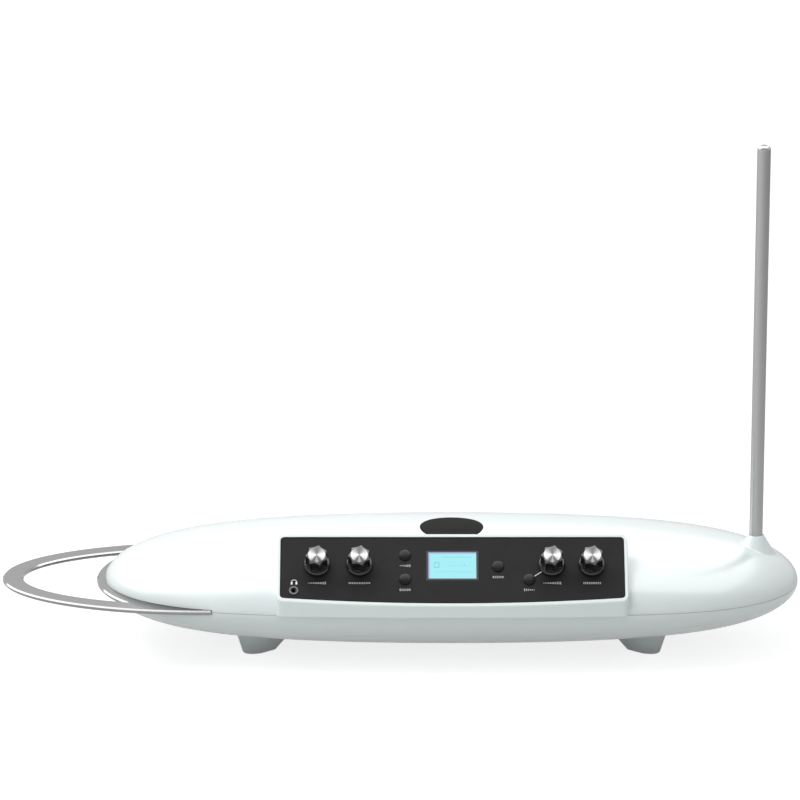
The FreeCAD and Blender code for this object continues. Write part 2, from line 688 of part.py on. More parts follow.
def front_panel():
    """Dark plate with holes for every control."""
    plate = face_block(RIM + SEAT, PANEL_UNDER, PANEL_FACE, BEZEL_CORNER - RIM / 2)
    low, high = PANEL_UNDER - 1, PANEL_FACE + 1
    holes = [cylinder(BUSH_RADIUS + FIT, low, high, u, KNOB_ROW) for u in KNOB_PLACES.values()]
    holes += [cylinder(BUTTON_RADIUS + SEAT, low, high, u, v) for u, v in BUTTON_PLACES.values()]
    holes.append(cylinder(PHONES_NECK + FIT, low, high, *PHONES_PLACE))
    holes.append(window_block(low, high, SEAT))
    return plate.cut(on_panel(Part.makeCompound(holes)))


def display_window():
    """Clear window flush with the panel."""
    return on_panel(window_block(PANEL_UNDER, PANEL_FACE, 0))


def display_module():
    """Display glass and frame between the window and the control board."""
    half, tall = MODULE_WIDTH / 2, MODULE_HEIGHT / 2
    return on_panel(block((-half, half), (WINDOW_ROW - tall, WINDOW_ROW + tall),
                          (BOARD_FACE, PANEL_UNDER - SEAT)))


def hexagon(flats, low, high, x=0.0, y=0.0):
    """Upright six-sided block."""
    reach = flats / math.sqrt(3)
    points = [V(x + reach * math.cos(math.pi * i / 3), y + reach * math.sin(math.pi * i / 3), low)
              for i in range(7)]
    return prism(Part.makePolygon(points), V(0, 0, high - low))


def fluted(solid, turn, low, high):
    """Cut the lobed knob's flutes between two heights."""
    away = TOP_RADIUS - FLUTE_DEPTH + FLUTE_RADIUS
    tools = []
    for i in range(LOBES):
        angle = math.radians(turn) + 2 * math.pi * (i + 0.5) / LOBES
        tools.append(cylinder(FLUTE_RADIUS, low, high,
                              away * math.cos(angle), away * math.sin(angle)))
    return solid.cut(Part.makeCompound(tools))


def knob(turn):
    """Black knob: round skirt, lobed grip and a hollow for the nut."""
    grip_top = KNOB_HEIGHT - CAP_THICK
    skirt = Part.makeCone(SKIRT_RADIUS, GRIP_RADIUS, SKIRT_HEIGHT)
    grip = Part.makeCone(GRIP_RADIUS, TOP_RADIUS, grip_top - SKIRT_HEIGHT, V(0, 0, SKIRT_HEIGHT))
    grip = fluted(grip, turn, SKIRT_HEIGHT - 1, grip_top + 1)
    hollow = NUT_FLATS / math.sqrt(3) + NUT_ROOM
    room = BUSH_PROUD - KNOB_GAP + 1
    solid = skirt.fuse(grip)
    solid = solid.cut(cylinder(hollow, -1, room))
    return solid.cut(cylinder(SHAFT_RADIUS + FIT, 0, shaft_end() + FIT))


def shaft_end():
    """Top of a control shaft above the knob's underside."""
    return KNOB_HEIGHT - CAP_THICK - 3.0


def knob_cap(turn):
    """Bevelled lobed ring on top of the grip, with a seat for the disc."""
    low, high = KNOB_HEIGHT - CAP_THICK, KNOB_HEIGHT
    ring = cylinder(TOP_RADIUS, low, high - CAP_BEVEL)
    ring = ring.fuse(Part.makeCone(TOP_RADIUS, TOP_RADIUS - CAP_BEVEL, CAP_BEVEL,
                                   V(0, 0, high - CAP_BEVEL)))
    ring = fluted(ring, turn, low - 1, high + 1)
    return ring.cut(cylinder(DISC_RADIUS + FIT, high + DISC_PROUD - DISC_THICK, high + 1))


def knob_disc():
    """Bright disc in the cap."""
    high = KNOB_HEIGHT + DISC_PROUD
    return cylinder(DISC_RADIUS, high - DISC_THICK, high)


def shaft():
    """Control shaft from the potentiometer to the knob."""
    return cylinder(SHAFT_RADIUS, PANEL_UNDER - KNOB_BASE - POT_DEPTH / 2, shaft_end())


def potentiometer():
    """Body under the panel and threaded bush through it, in panel levels."""
    half = POT_SIZE / 2
    body = block((-half, half), (-half, half), (BOARD_FACE, PANEL_UNDER))
    bush = cylinder(BUSH_RADIUS, PANEL_UNDER, PANEL_FACE + BUSH_PROUD)
    depth = PANEL_UNDER - POT_DEPTH / 2 - SEAT
    return body.fuse(bush).cut(cylinder(SHAFT_RADIUS + FIT, depth, PANEL_FACE + BUSH_PROUD + 1))


def shaft_nuts():
    """Nuts that clamp the four controls to the panel."""
    nuts = []
    for u in KNOB_PLACES.values():
        nut = hexagon(NUT_FLATS, PANEL_FACE, PANEL_FACE + NUT_THICK, u, KNOB_ROW)
        hole = cylinder(BUSH_RADIUS + FIT, PANEL_FACE - 1, PANEL_FACE + NUT_THICK + 1, u, KNOB_ROW)
        nuts.append(on_panel(nut.cut(hole)))
    return Part.makeCompound(nuts)


def button():
    """Domed button with a retaining flange and a stem, in panel levels."""
    side_top = PANEL_FACE + BUTTON_SIDE
    under = PANEL_UNDER - SEAT
    ball = (BUTTON_RADIUS ** 2 + BUTTON_DOME ** 2) / (2 * BUTTON_DOME)
    post = cylinder(BUTTON_RADIUS, under - BUTTON_FLANGE_THICK, side_top + BUTTON_DOME)
    dome = Part.makeSphere(ball, V(0, 0, side_top + BUTTON_DOME - ball), X_AXIS)
    flange = cylinder(BUTTON_RADIUS + BUTTON_FLANGE, under - BUTTON_FLANGE_THICK, under)
    return post.common(dome).fuse(flange).removeSplitter()


def tact_switches():
    """Small square switches under the buttons."""
    half = SWITCH_SIZE / 2
    high = PANEL_UNDER - SEAT - BUTTON_FLANGE_THICK - BUTTON_TRAVEL - SEAT
    return Part.makeCompound([
        on_panel(block((u - half, u + half), (v - half, v + half), (BOARD_FACE, high)))
        for u, v in BUTTON_PLACES.values()])


def headphone_jack():
    """Jack body under the panel with its neck through it."""
    half = PHONES_BODY / 2
    u, v = PHONES_PLACE
    low = PANEL_UNDER - PHONES_DEPTH
    body = block((u - half, u + half), (v - half, v + half), (low, PANEL_UNDER))
    body = body.fuse(cylinder(PHONES_NECK, PANEL_UNDER, PANEL_FACE, u, v))
    return on_panel(body.cut(cylinder(PHONES_BORE, low + 2, PANEL_FACE + 1, u, v)))


def headphone_ring():
    """Plain ring round the mouth of the headphone jack."""
    u, v = PHONES_PLACE
    high = PANEL_FACE + PHONES_RING_PROUD
    ring = cylinder(PHONES_RING, PANEL_FACE, high, u, v)
    return on_panel(ring.cut(cylinder(PHONES_MOUTH, PANEL_FACE - 1, high + 1, u, v)))


def control_board():
    """Board parallel to the panel that carries the controls."""
    half = BEZEL_WIDTH / 2 - CONTROL_BOARD_INSET
    board = block((-half, half), (CONTROL_BOARD_LOW, CONTROL_BOARD_HIGH),
                  (BOARD_FACE - BOARD_THICK, BOARD_FACE))
    u, v = PHONES_PLACE
    hole = PHONES_BODY / 2 + LOOSE
    notch = block((u - hole, u + hole), (v - hole, v + hole), (BOARD_FACE - REACH, BOARD_FACE + 1))
    return on_panel(board.cut(notch))


def save_controls():
    """Write the knobs, shafts, potentiometers and buttons."""
    for name, u in KNOB_PLACES.items():
        turn = KNOB_TURNS[name]
        turning = {"knob": knob(turn), "knob_cap": knob_cap(turn),
                   "knob_disc": knob_disc(), "shaft": shaft()}
        for part, shape in turning.items():
            shape.translate(V(u, KNOB_ROW, KNOB_BASE))
            save(f"{name}_{part}", on_panel(shape))
        pot = potentiometer()
        pot.translate(V(u, KNOB_ROW, 0))
        save("preset_encoder" if name == "preset" else f"{name}_potentiometer", on_panel(pot))
    for name, (u, v) in BUTTON_PLACES.items():
        cap = button()
        cap.translate(V(u, v, 0))
        save(f"{name}_button", on_panel(cap))


# ---- rear connectors and main board ------------------------------------------
def socket_body(size, x):
    """Connector body behind the cove's window, standing on the main board."""
    wide, deep, tall = size
    back = COVE_FACE - FIT
    return block((x - wide / 2, x + wide / 2), (back - deep, back),
                 (MAIN_BOARD_TOP, MAIN_BOARD_TOP + tall))


def audio_jack(x):
    """Quarter-inch jack: body, threaded neck and bore."""
    body = socket_body(AUDIO_BODY, x)
    neck_end = PLATE_THICK + AUDIO_NUT_THICK
    neck = backwards(cylinder(AUDIO_NECK, -FIT - 1, neck_end), x)
    bore = backwards(cylinder(AUDIO_BORE, neck_end - AUDIO_BORE_DEPTH, neck_end + 1), x)
    return body.fuse(neck).removeSplitter().cut(bore)


def jack_nuts():
    """Nuts on the rear plate, one per quarter-inch jack."""
    low, high = PLATE_THICK, PLATE_THICK + AUDIO_NUT_THICK
    nut = hexagon(2 * AUDIO_NUT, low, high).cut(cylinder(AUDIO_NECK + FIT, low - 1, high + 1))
    return Part.makeCompound([backwards(nut, x) for x in AUDIO_PLACES.values()])


def power_inlet():
    """Direct-current barrel socket."""
    body = socket_body(INLET_BODY, INLET_PLACE)
    nose = backwards(cylinder(INLET_BORE + 1, -FIT - 1, PLATE_THICK), INLET_PLACE)
    bore = backwards(cylinder(INLET_BORE, PLATE_THICK - INLET_DEPTH, PLATE_THICK + 1), INLET_PLACE)
    return body.fuse(nose).removeSplitter().cut(bore)


def usb_socket():
    """Square computer socket with its slot."""
    wide, deep, tall = USB_SLOT
    body = socket_body(USB_BODY, USB_PLACE)
    middle = MAIN_BOARD_TOP + USB_BODY[2] / 2
    slot = block((USB_PLACE - wide / 2, USB_PLACE + wide / 2), (COVE_FACE - deep, COVE_FACE + 1),
                 (middle - tall / 2, middle + tall / 2))
    return body.cut(slot)


def power_switch():
    """Push switch behind the power button."""
    wide, deep, tall = POWER_BODY
    front = COVE_FACE - POWER_STEM - POWER_TRAVEL - SEAT
    return block((POWER_PLACE - wide / 2, POWER_PLACE + wide / 2), (front - deep, front),
                 (MAIN_BOARD_TOP, MAIN_BOARD_TOP + tall))


def power_button():
    """Round button through the rear plate, with a collar behind it."""
    proud = PLATE_THICK + POWER_PROUD
    stem = cylinder(POWER_RADIUS, -POWER_STEM, proud)
    collar = cylinder(POWER_RADIUS + POWER_COLLAR, -POWER_STEM / 2, -SEAT)
    return backwards(stem.fuse(collar).removeSplitter(), POWER_PLACE)


def rear_plate():
    """Plate that closes the cove's window round the connectors."""
    half = COVE_WIDTH / 2 - PLATE_INSET
    top = PARTING - COVE_TOP - PLATE_INSET
    plate = block((-half, half), (COVE_FACE, COVE_FACE + PLATE_THICK),
                  (top - COVE_HEIGHT + 2 * PLATE_INSET, top))
    low, high = -1, PLATE_THICK + 1
    holes = [backwards(cylinder(AUDIO_NECK + FIT, low, high), x) for x in AUDIO_PLACES.values()]
    holes.append(backwards(cylinder(INLET_BORE + 1 + FIT, low, high), INLET_PLACE))
    holes.append(backwards(cylinder(POWER_RADIUS + SEAT, low, high), POWER_PLACE))
    wide, _, tall = USB_SLOT
    middle = MAIN_BOARD_TOP + USB_BODY[2] / 2
    holes.append(block((USB_PLACE - wide / 2, USB_PLACE + wide / 2),
                       (COVE_FACE - 1, COVE_FACE + PLATE_THICK + 1),
                       (middle - tall / 2, middle + tall / 2)))
    return plate.cut(Part.makeCompound(holes))


def main_board():
    """Board on four posts behind the stand socket."""
    half = MAIN_BOARD_WIDTH / 2
    board = block((-half, half), (MAIN_BOARD_FRONT, MAIN_BOARD_BACK),
                  (MAIN_BOARD_TOP - BOARD_THICK, MAIN_BOARD_TOP))
    holes = [cylinder(BOARD_SCREW + FIT, MAIN_BOARD_TOP - BOARD_THICK - 1, MAIN_BOARD_TOP + 1, x, y)
             for x, y in board_screw_places()]
    return board.cut(Part.makeCompound(holes))


def processor():
    """Largest chip on the main board."""
    y = MAIN_BOARD_FRONT + CHIP_SIZE / 2 + 1
    half = CHIP_SIZE / 2
    return block((-half, half), (y - half, y + half), (MAIN_BOARD_TOP, MAIN_BOARD_TOP + CHIP_THICK))


# ---- screws ----------------------------------------------------------------
def case_screws():
    """Screws from below into the upper shell."""
    seat = PARTING - SCREW_SEAT
    screws = []
    for x, y in CASE_SCREWS:
        head = cylinder(SCREW_HEAD, seat - SCREW_HEAD_THICK, seat, x, y)
        screws.append(head.fuse(cylinder(SCREW_RADIUS, seat, PARTING + SCREW_BITE, x, y)))
    return Part.makeCompound(screws)


def board_screws():
    """Screws through the main board into its posts."""
    screws = []
    for x, y in board_screw_places():
        head = cylinder(BOARD_SCREW_HEAD, MAIN_BOARD_TOP, MAIN_BOARD_TOP + BOARD_SCREW_HEAD_THICK, x, y)
        low = MAIN_BOARD_TOP - BOARD_THICK - BOARD_SCREW_LENGTH + 1
        screws.append(head.fuse(cylinder(BOARD_SCREW, low, MAIN_BOARD_TOP, x, y)))
    return Part.makeCompound(screws)


def main():
    """Build and write every node."""
    os.makedirs("parts", exist_ok=True)
    save("top_shell", top_shell())
    save("bottom_shell", bottom_shell())
    for name, shape in feet().items():
        save(name, shape)
    save("stand_socket", stand_socket())
    save("badge", badge())
    save("volume_antenna", volume_antenna())
    save("pitch_antenna", pitch_antenna())
    save("antenna_ferrule", antenna_ferrule())
    save("front_panel", front_panel())
    save("display_window", display_window())
    save("display_module", display_module())
    save("control_board", control_board())
    save_controls()
    save("shaft_nuts", shaft_nuts())
    save("tact_switches", tact_switches())
    save("headphone_jack", headphone_jack())
    save("headphone_ring", headphone_ring())
    save("speaker", speaker())
    save("speaker_cone", speaker_cone())
    save("rear_plate", rear_plate())
    for name, x in AUDIO_PLACES.items():
        save(name, audio_jack(x))
    save("jack_nuts", jack_nuts())
    save("power_inlet", power_inlet())
    save("usb_socket", usb_socket())
    save("power_switch", power_switch())
    save("power_button", power_button())
    save("main_board", main_board())
    save("processor", processor())
    save("case_screws", case_screws())
    save("board_screws", board_screws())


main()
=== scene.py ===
"""Desktop theremin: skins, finishes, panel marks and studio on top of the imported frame."""

import json
import logging
import math
from collections.abc import Iterator
from contextlib import contextmanager
from dataclasses import dataclass, field, replace
from enum import Enum

import bmesh
import bpy
import numpy as np
from mathutils import Matrix, Vector

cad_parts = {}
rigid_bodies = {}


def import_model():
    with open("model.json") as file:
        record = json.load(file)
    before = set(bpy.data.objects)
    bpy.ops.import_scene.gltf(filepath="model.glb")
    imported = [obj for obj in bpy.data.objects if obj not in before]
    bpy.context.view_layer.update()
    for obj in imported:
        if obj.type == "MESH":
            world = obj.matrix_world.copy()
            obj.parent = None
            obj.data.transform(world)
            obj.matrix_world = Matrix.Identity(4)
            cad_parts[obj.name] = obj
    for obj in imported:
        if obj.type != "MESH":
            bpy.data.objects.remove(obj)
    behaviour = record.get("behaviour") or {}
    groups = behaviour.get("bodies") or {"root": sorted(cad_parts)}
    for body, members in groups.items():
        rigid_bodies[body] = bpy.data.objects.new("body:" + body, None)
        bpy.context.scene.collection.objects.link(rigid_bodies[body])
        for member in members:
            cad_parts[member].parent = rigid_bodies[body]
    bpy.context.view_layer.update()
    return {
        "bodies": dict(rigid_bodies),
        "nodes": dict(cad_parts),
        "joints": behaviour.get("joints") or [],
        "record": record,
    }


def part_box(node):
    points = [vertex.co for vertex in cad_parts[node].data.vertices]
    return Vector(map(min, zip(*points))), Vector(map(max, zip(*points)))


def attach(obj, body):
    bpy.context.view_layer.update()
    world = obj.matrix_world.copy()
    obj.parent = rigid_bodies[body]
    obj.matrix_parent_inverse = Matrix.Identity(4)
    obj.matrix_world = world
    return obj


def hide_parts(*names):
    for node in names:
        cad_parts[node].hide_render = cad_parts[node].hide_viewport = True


LOG = logging.getLogger("theremin")
MM = 0.001
PANEL_TILT = math.radians(45)
NOTHING = 1e-7               # lengths below this count as none
TINY = 1e-6
LEAST = 1e-12                # keeps a divisor above zero


# ---------------------------------------------------------------- shader graphs
class Wire:
    """Output of a node, which formulas are written with."""

    def __init__(self, graph: "Graph", socket: bpy.types.NodeSocket) -> None:
        """Keeps the tree and the socket."""
        self.graph = graph
        self.socket = socket

    def __add__(self, other: object) -> "Wire":
        """Sum."""
        return self.graph.math("ADD", self, other)

    def __sub__(self, other: object) -> "Wire":
        """Difference."""
        return self.graph.math("SUBTRACT", self, other)

    def __rsub__(self, other: object) -> "Wire":
        """Difference from a number."""
        return self.graph.math("SUBTRACT", other, self)

    def __mul__(self, other: object) -> "Wire":
        """Product."""
        return self.graph.math("MULTIPLY", self, other)

    def __truediv__(self, other: object) -> "Wire":
        """Quotient."""
        return self.graph.math("DIVIDE", self, other)

    def __pow__(self, other: object) -> "Wire":
        """Power."""
        return self.graph.math("POWER", self, other)

    def __lt__(self, other: object) -> "Wire":
        """1 where it is less, else 0."""
        return self.graph.math("LESS_THAN", self, other)

    def __abs__(self) -> "Wire":
        """Size without its sign."""
        return self.graph.math("ABSOLUTE", self)


class Graph:
    """A node tree that is filled one node at a time."""

    def __init__(self, tree: bpy.types.NodeTree) -> None:
        """Keeps the shader or geometry tree that is filled."""
        self.tree = tree

    @classmethod
    def of(cls, owner: bpy.types.Material | bpy.types.World) -> "Graph":
        """Empties the node tree of a material or world and starts on it."""
        owner.use_nodes = True
        owner.node_tree.nodes.clear()
        return cls(owner.node_tree)

    def node(self, kind: str, *inputs: object, **named: object) -> bpy.types.Node:
        """Adds a node.

        Args:
            kind: type of the node.
            inputs: values or wires for its inputs in order.
            named: its properties in small letters, and inputs by their capitalised names.

        Returns:
            The new node.
        """
        made = self.tree.nodes.new(kind)
        for key, value in named.items():
            if key.islower():
                setattr(made, key, value)
        for socket, value in zip([s for s in made.inputs if s.enabled], inputs):
            self.feed(socket, value)
        for key, value in named.items():
            if not key.islower():
                self.feed(made.inputs[key.replace("_", " ")], value)
        return made

    def out(self, kind: str, *inputs: object, pick: int | str = 0, **named: object) -> Wire:
        """Adds a node and returns its first output, or the one that is picked."""
        return Wire(self, self.node(kind, *inputs, **named).outputs[pick])

    def feed(self, socket: bpy.types.NodeSocket, value: object) -> None:
        """Links or sets one input."""
        if isinstance(value, Wire):
            self.tree.links.new(value.socket, socket)
        else:
            socket.default_value = value

    def math(self, operation: str, *inputs: object, clamp: bool = False) -> Wire:
        """Adds a Math node, clamped to 0 to 1 on request."""
        return self.out("ShaderNodeMath", *inputs, operation=operation, use_clamp=clamp)

    def vector(self, operation: str, *inputs: object, pick: int | str = 0) -> Wire:
        """Adds a Vector Math node."""
        return self.out("ShaderNodeVectorMath", *inputs, pick=pick, operation=operation)

    def parts(self, vector: Wire) -> list[Wire]:
        """Splits a vector in three."""
        node = self.node("ShaderNodeSeparateXYZ", vector)
        return [Wire(self, socket) for socket in node.outputs]

    def mix(self, factor: Wire, low: object, high: object) -> Wire:
        """Mixes two colours and returns the result."""
        made = self.node("ShaderNodeMix", data_type="RGBA")
        for name, value in (("Factor", factor), ("A", low), ("B", high)):
            kind = "VALUE" if name == "Factor" else "RGBA"
            socket = next(s for s in made.inputs if s.name == name and s.type == kind)
            self.feed(socket, value)
        return Wire(self, next(s for s in made.outputs if s.type == "RGBA"))

    def ramp(self, value: Wire, start: float, end: float) -> Wire:
        """Eases from 0 to 1 while a value goes from a start to an end."""
        return self.out("ShaderNodeMapRange", value, start, end, 0.0, 1.0,
                        interpolation_type="SMOOTHSTEP")

    def place(self, centre: tuple, turn: tuple) -> Wire:
        """Object coordinates about a centre, turned by three angles."""
        spot = self.out("ShaderNodeTexCoord", pick="Object")
        return self.out("ShaderNodeMapping", vector_type="TEXTURE", Vector=spot,
                        Location=centre, Rotation=turn)

    def relief(self, height: Wire, strength: float, depth: float) -> Wire:
        """Normal of a bump with a strength of 0 to 1 and a depth in metres."""
        return self.out("ShaderNodeBump", Strength=strength, Distance=depth, Height=height)

    def seen(self) -> tuple[Wire, Wire]:
        """Masks of the rays that show a surface, and of the mirrored ones among them."""
        path = self.node("ShaderNodeLightPath").outputs
        camera, through, mirrored = (Wire(self, path[f"Is {kind} Ray"])
                                     for kind in ("Camera", "Transmission", "Glossy"))
        return self.math("ADD", camera + through, mirrored, clamp=True), mirrored


class Wear(Enum):
    """Surface textures that the finishes choose from."""

    MOULDED = "moulded"
    GRAINED = "grained"
    BRUSHED = "brushed"
    # turned metal: real turning rings in the relief and a real shine tangent, with painted sheen
    # fans in its colour
    SPUN_WITH_PAINTED_SHEEN = "spun"
    PULP = "pulp"


FLAT = (1, 1, 0)             # drops the height of a vector
LEAST_ROUGHNESS = 0.02
CLOUD_RANGE = (0.3, 0.7)     # noise values that most of a cloud lies between
CLOUD_DETAIL = 3.0
GRAINS = 12                  # cells for each unit of a finish's scale
RELIEF = {Wear.MOULDED: (1.0, 2.0), Wear.PULP: (1.0, 6.0), Wear.BRUSHED: (8.0, 2.0)}
# painted sheen on turned discs: light fans at both sides and darker petals low down stand in for
# their reflections
PAINTED_SHEEN_SIDES, PAINTED_SHEEN_PETALS = 2.0, 6.0
PAINTED_SHEEN_LEVEL, PAINTED_SHEEN_DEPTH, PAINTED_SHADE_PETAL_DEPTH = 0.55, 0.42, 0.38


@dataclass(frozen=True)
class LevelFaces:
    """Level faces with a finish of their own: a plate's two sides, or the tip of a rod, whose
    darker colour is painted shade.

    They lie farther than half from the middle height.
    """

    middle: float
    half: float
    colour: tuple[float, float, float]
    roughness: float


@dataclass(frozen=True)
class Finish:
    """One painted, moulded or metal surface."""

    name: str
    colour: tuple[float, float, float]
    shade: tuple[float, float, float]
    roughness: float
    spread: float = 0.05
    wear: Wear = Wear.MOULDED
    metallic: float = 0.0
    coat: float = 0.0
    ior: float = 1.5
    specular: float = 0.5
    scale: float = 60.0
    bump: float = 0.1
    depth: float = 0.0001
    stretch: tuple[float, float, float] = (1.0, 1.0, 1.0)
    centre: tuple[float, float, float] = (0.0, 0.0, 0.0)
    turn: tuple[float, float, float] = (0.0, 0.0, 0.0)
    anisotropic: float = 0.0
    faces: LevelFaces | None = None

    def material(self) -> bpy.types.Material:
        """Builds the procedural material.

        Returns:
            The material.
        """
        made = bpy.data.materials.new(self.name)
        graph = Graph.of(made)
        place = graph.place(self.centre, self.turn)
        cloud, relief = self.textures(graph, place)
        base = graph.mix(cloud, (*self.shade, 1.0), (*self.colour, 1.0))
        smoothest = max(LEAST_ROUGHNESS, self.roughness - self.spread)
        rough = graph.out("ShaderNodeMapRange", cloud, *CLOUD_RANGE,
                          self.roughness + self.spread, smoothest)
        if self.faces:
            level = self.on_faces(graph, place)
            base = graph.mix(level, base, (*self.faces.colour, 1.0))
            rough = graph.math("MULTIPLY_ADD", level, self.faces.roughness - rough, rough)
        shader = graph.node(
            "ShaderNodeBsdfPrincipled", Base_Color=base, Roughness=rough, IOR=self.ior,
            Metallic=self.metallic, Coat_Weight=self.coat, Specular_IOR_Level=self.specular,
            Anisotropic=self.anisotropic, Normal=graph.relief(relief, self.bump, self.depth))
        if self.wear is Wear.SPUN_WITH_PAINTED_SHEEN:
            graph.feed(shader.inputs["Tangent"], self.spin_tangent(graph, place))
        graph.node("ShaderNodeOutputMaterial", Wire(graph, shader.outputs[0]))
        return made

    def on_faces(self, graph: Graph, place: Wire) -> Wire:
        """Mask of the level faces."""
        away = abs(graph.parts(place)[2] - self.faces.middle)
        return graph.math("GREATER_THAN", away, self.faces.half)

    def textures(self, graph: Graph, place: Wire) -> tuple[Wire, Wire]:
        """Colour cloud and relief of the surface.

        Args:
            graph: tree to fill.
            place: coordinates.

        Returns:
            The cloud and the relief, both about 0 to 1.
        """
        if self.wear is Wear.SPUN_WITH_PAINTED_SHEEN:
            radius = graph.vector("LENGTH", graph.vector("MULTIPLY", place, FLAT), pick="Value")
            # the colour cloud of turned metal is painted sheen; only the rings in the relief are
            # real turning marks
            return self.painted_sheen_fans(graph, place), graph.math("SINE", radius * self.scale)
        cloud = graph.out("ShaderNodeTexNoise", place, self.scale / 3, CLOUD_DETAIL)
        stretched = graph.vector("MULTIPLY", place, self.stretch)
        if self.wear is Wear.GRAINED:
            return cloud, graph.out("ShaderNodeTexVoronoi", stretched, self.scale * GRAINS)
        fine, detail = RELIEF[self.wear]
        relief = graph.out("ShaderNodeTexNoise", stretched, self.scale * fine, detail)
        return (relief if self.wear is Wear.BRUSHED else cloud), relief

    @staticmethod
    def painted_sheen_fans(graph: Graph, place: Wire) -> Wire:
        """Painted sheen of a turned face: fans of painted highlight at both sides, with petals of
        painted shade in its lower half, standing in for its reflections.

        Args:
            graph: tree to fill.
            place: coordinates on the face.

        Returns:
            0 to 1 round the centre.
        """
        across, up, _ = graph.parts(place)
        angle = graph.math("ARCTAN2", up, across)
        sides = graph.math("COSINE", angle * PAINTED_SHEEN_SIDES)
        petals = graph.math("COSINE", angle * PAINTED_SHEEN_PETALS)
        low = graph.math("MAXIMUM", graph.math("SINE", angle) * -PAINTED_SHADE_PETAL_DEPTH, 0.0)
        broad = graph.math("MULTIPLY_ADD", sides, PAINTED_SHEEN_DEPTH, PAINTED_SHEEN_LEVEL)
        return graph.math("SUBTRACT", broad, low * petals, clamp=True)

    @staticmethod
    def spin_tangent(graph: Graph, place: Wire) -> Wire:
        """Tangent that spreads the shine across the turning marks, away from the axis."""
        away = graph.vector("MULTIPLY", place, FLAT)
        lift = graph.out("ShaderNodeVectorRotate", away, rotation_type="X_AXIS", Angle=PANEL_TILT)
        return graph.out("ShaderNodeVectorTransform", lift, vector_type="NORMAL",
                         convert_from="OBJECT", convert_to="WORLD")


@dataclass(frozen=True)
class DisplayFinish:
    """Lit display behind its window, with a plain meter drawn in dots."""

    name: str = "display_face"
    lit: tuple[float, float, float] = (0.40, 0.94, 1.0)
    edge: tuple[float, float, float] = (0.52, 0.55, 0.86)
    ink: tuple[float, float, float] = (0.24, 0.50, 0.74)
    frame: tuple[float, float, float] = (0.06, 0.065, 0.075)
    glass: tuple[float, float, float] = (0.01, 0.015, 0.018)
    centre: tuple[float, float, float] = (0.0, 0.0, 0.0)
    width: float = 0.0419
    height: float = 0.0256
    rim: float = 0.0016
    rim_shift: float = 0.0007
    glow: float = 0.88
    specular: float = 0.15
    roughness: float = 0.12
    ripple: tuple[float, float, float] = (90.0, 0.05, 0.0001)
    dot_pitch: float = 0.0022
    ink_share: float = 0.42
    dotted: tuple = (((0.004, 0.0082), (0.027, 0.0016)), ((0.002, -0.0062), (0.034, 0.0009)),
                     ((0.0065, 0.0), (0.021, 0.0007)))
    needle: tuple = ((0.0105, 0.0008), (0.0008, 0.0032))
    block: tuple = ((-0.0138, 0.0005), (0.0052, 0.0062))
    block_hole: tuple = ((-0.0138, 0.0005), (0.0026, 0.0034))

    def material(self) -> bpy.types.Material:
        """Builds the lit face.

        Returns:
            The material.
        """
        made = bpy.data.materials.new(self.name)
        graph = Graph.of(made)
        place = graph.place(self.centre, (PANEL_TILT, 0, 0))
        across, up, _ = graph.parts(place)
        inside = self.box(across, up, (0, 0), (self.width, self.height))
        field_size = (self.width - self.rim, self.height - self.rim)
        margin = self.box(across, up, (self.rim_shift, -self.rim_shift), field_size)
        field_colour = graph.mix(margin, (*self.edge, 1), (*self.lit, 1))
        inked = graph.mix(self.meter(graph, across, up), field_colour, (*self.ink, 1))
        scale, strength, depth = self.ripple
        noise = graph.out("ShaderNodeTexNoise", place, scale)
        shader = graph.out(
            "ShaderNodeBsdfPrincipled", Base_Color=(*self.glass, 1), Roughness=self.roughness,
            Emission_Color=graph.mix(inside, (*self.frame, 1), inked), Emission_Strength=self.glow,
            Specular_IOR_Level=self.specular, Normal=graph.relief(noise, strength, depth))
        graph.node("ShaderNodeOutputMaterial", shader)
        return made

    @staticmethod
    def box(across: Wire, up: Wire, centre: tuple, size: tuple) -> Wire:
        """Mask of a rectangle.

        Args:
            across: coordinate along the display.
            up: coordinate up the display.
            centre: middle of the rectangle.
            size: width and height.

        Returns:
            1 inside, 0 outside.
        """
        wide = abs(across - centre[0]) < size[0] / 2
        return wide * (abs(up - centre[1]) < size[1] / 2)

    def meter(self, graph: Graph, across: Wire, up: Wire) -> Wire:
        """Rows of dots, a needle and a block, all plain shapes.

        Args:
            graph: tree to fill.
            across: coordinate along the display.
            up: coordinate up the display.

        Returns:
            Strength of the ink.
        """
        dots = graph.math("FRACT", across / self.dot_pitch) < 0.5
        top, bottom, scale = (self.box(across, up, *row) for row in self.dotted)
        needle, block, hole = (self.box(across, up, *shape)
                               for shape in (self.needle, self.block, self.block_hole))
        drawn = (top + bottom + scale) * dots + needle
        return graph.math("ADD", drawn, block - hole, clamp=True) * self.ink_share


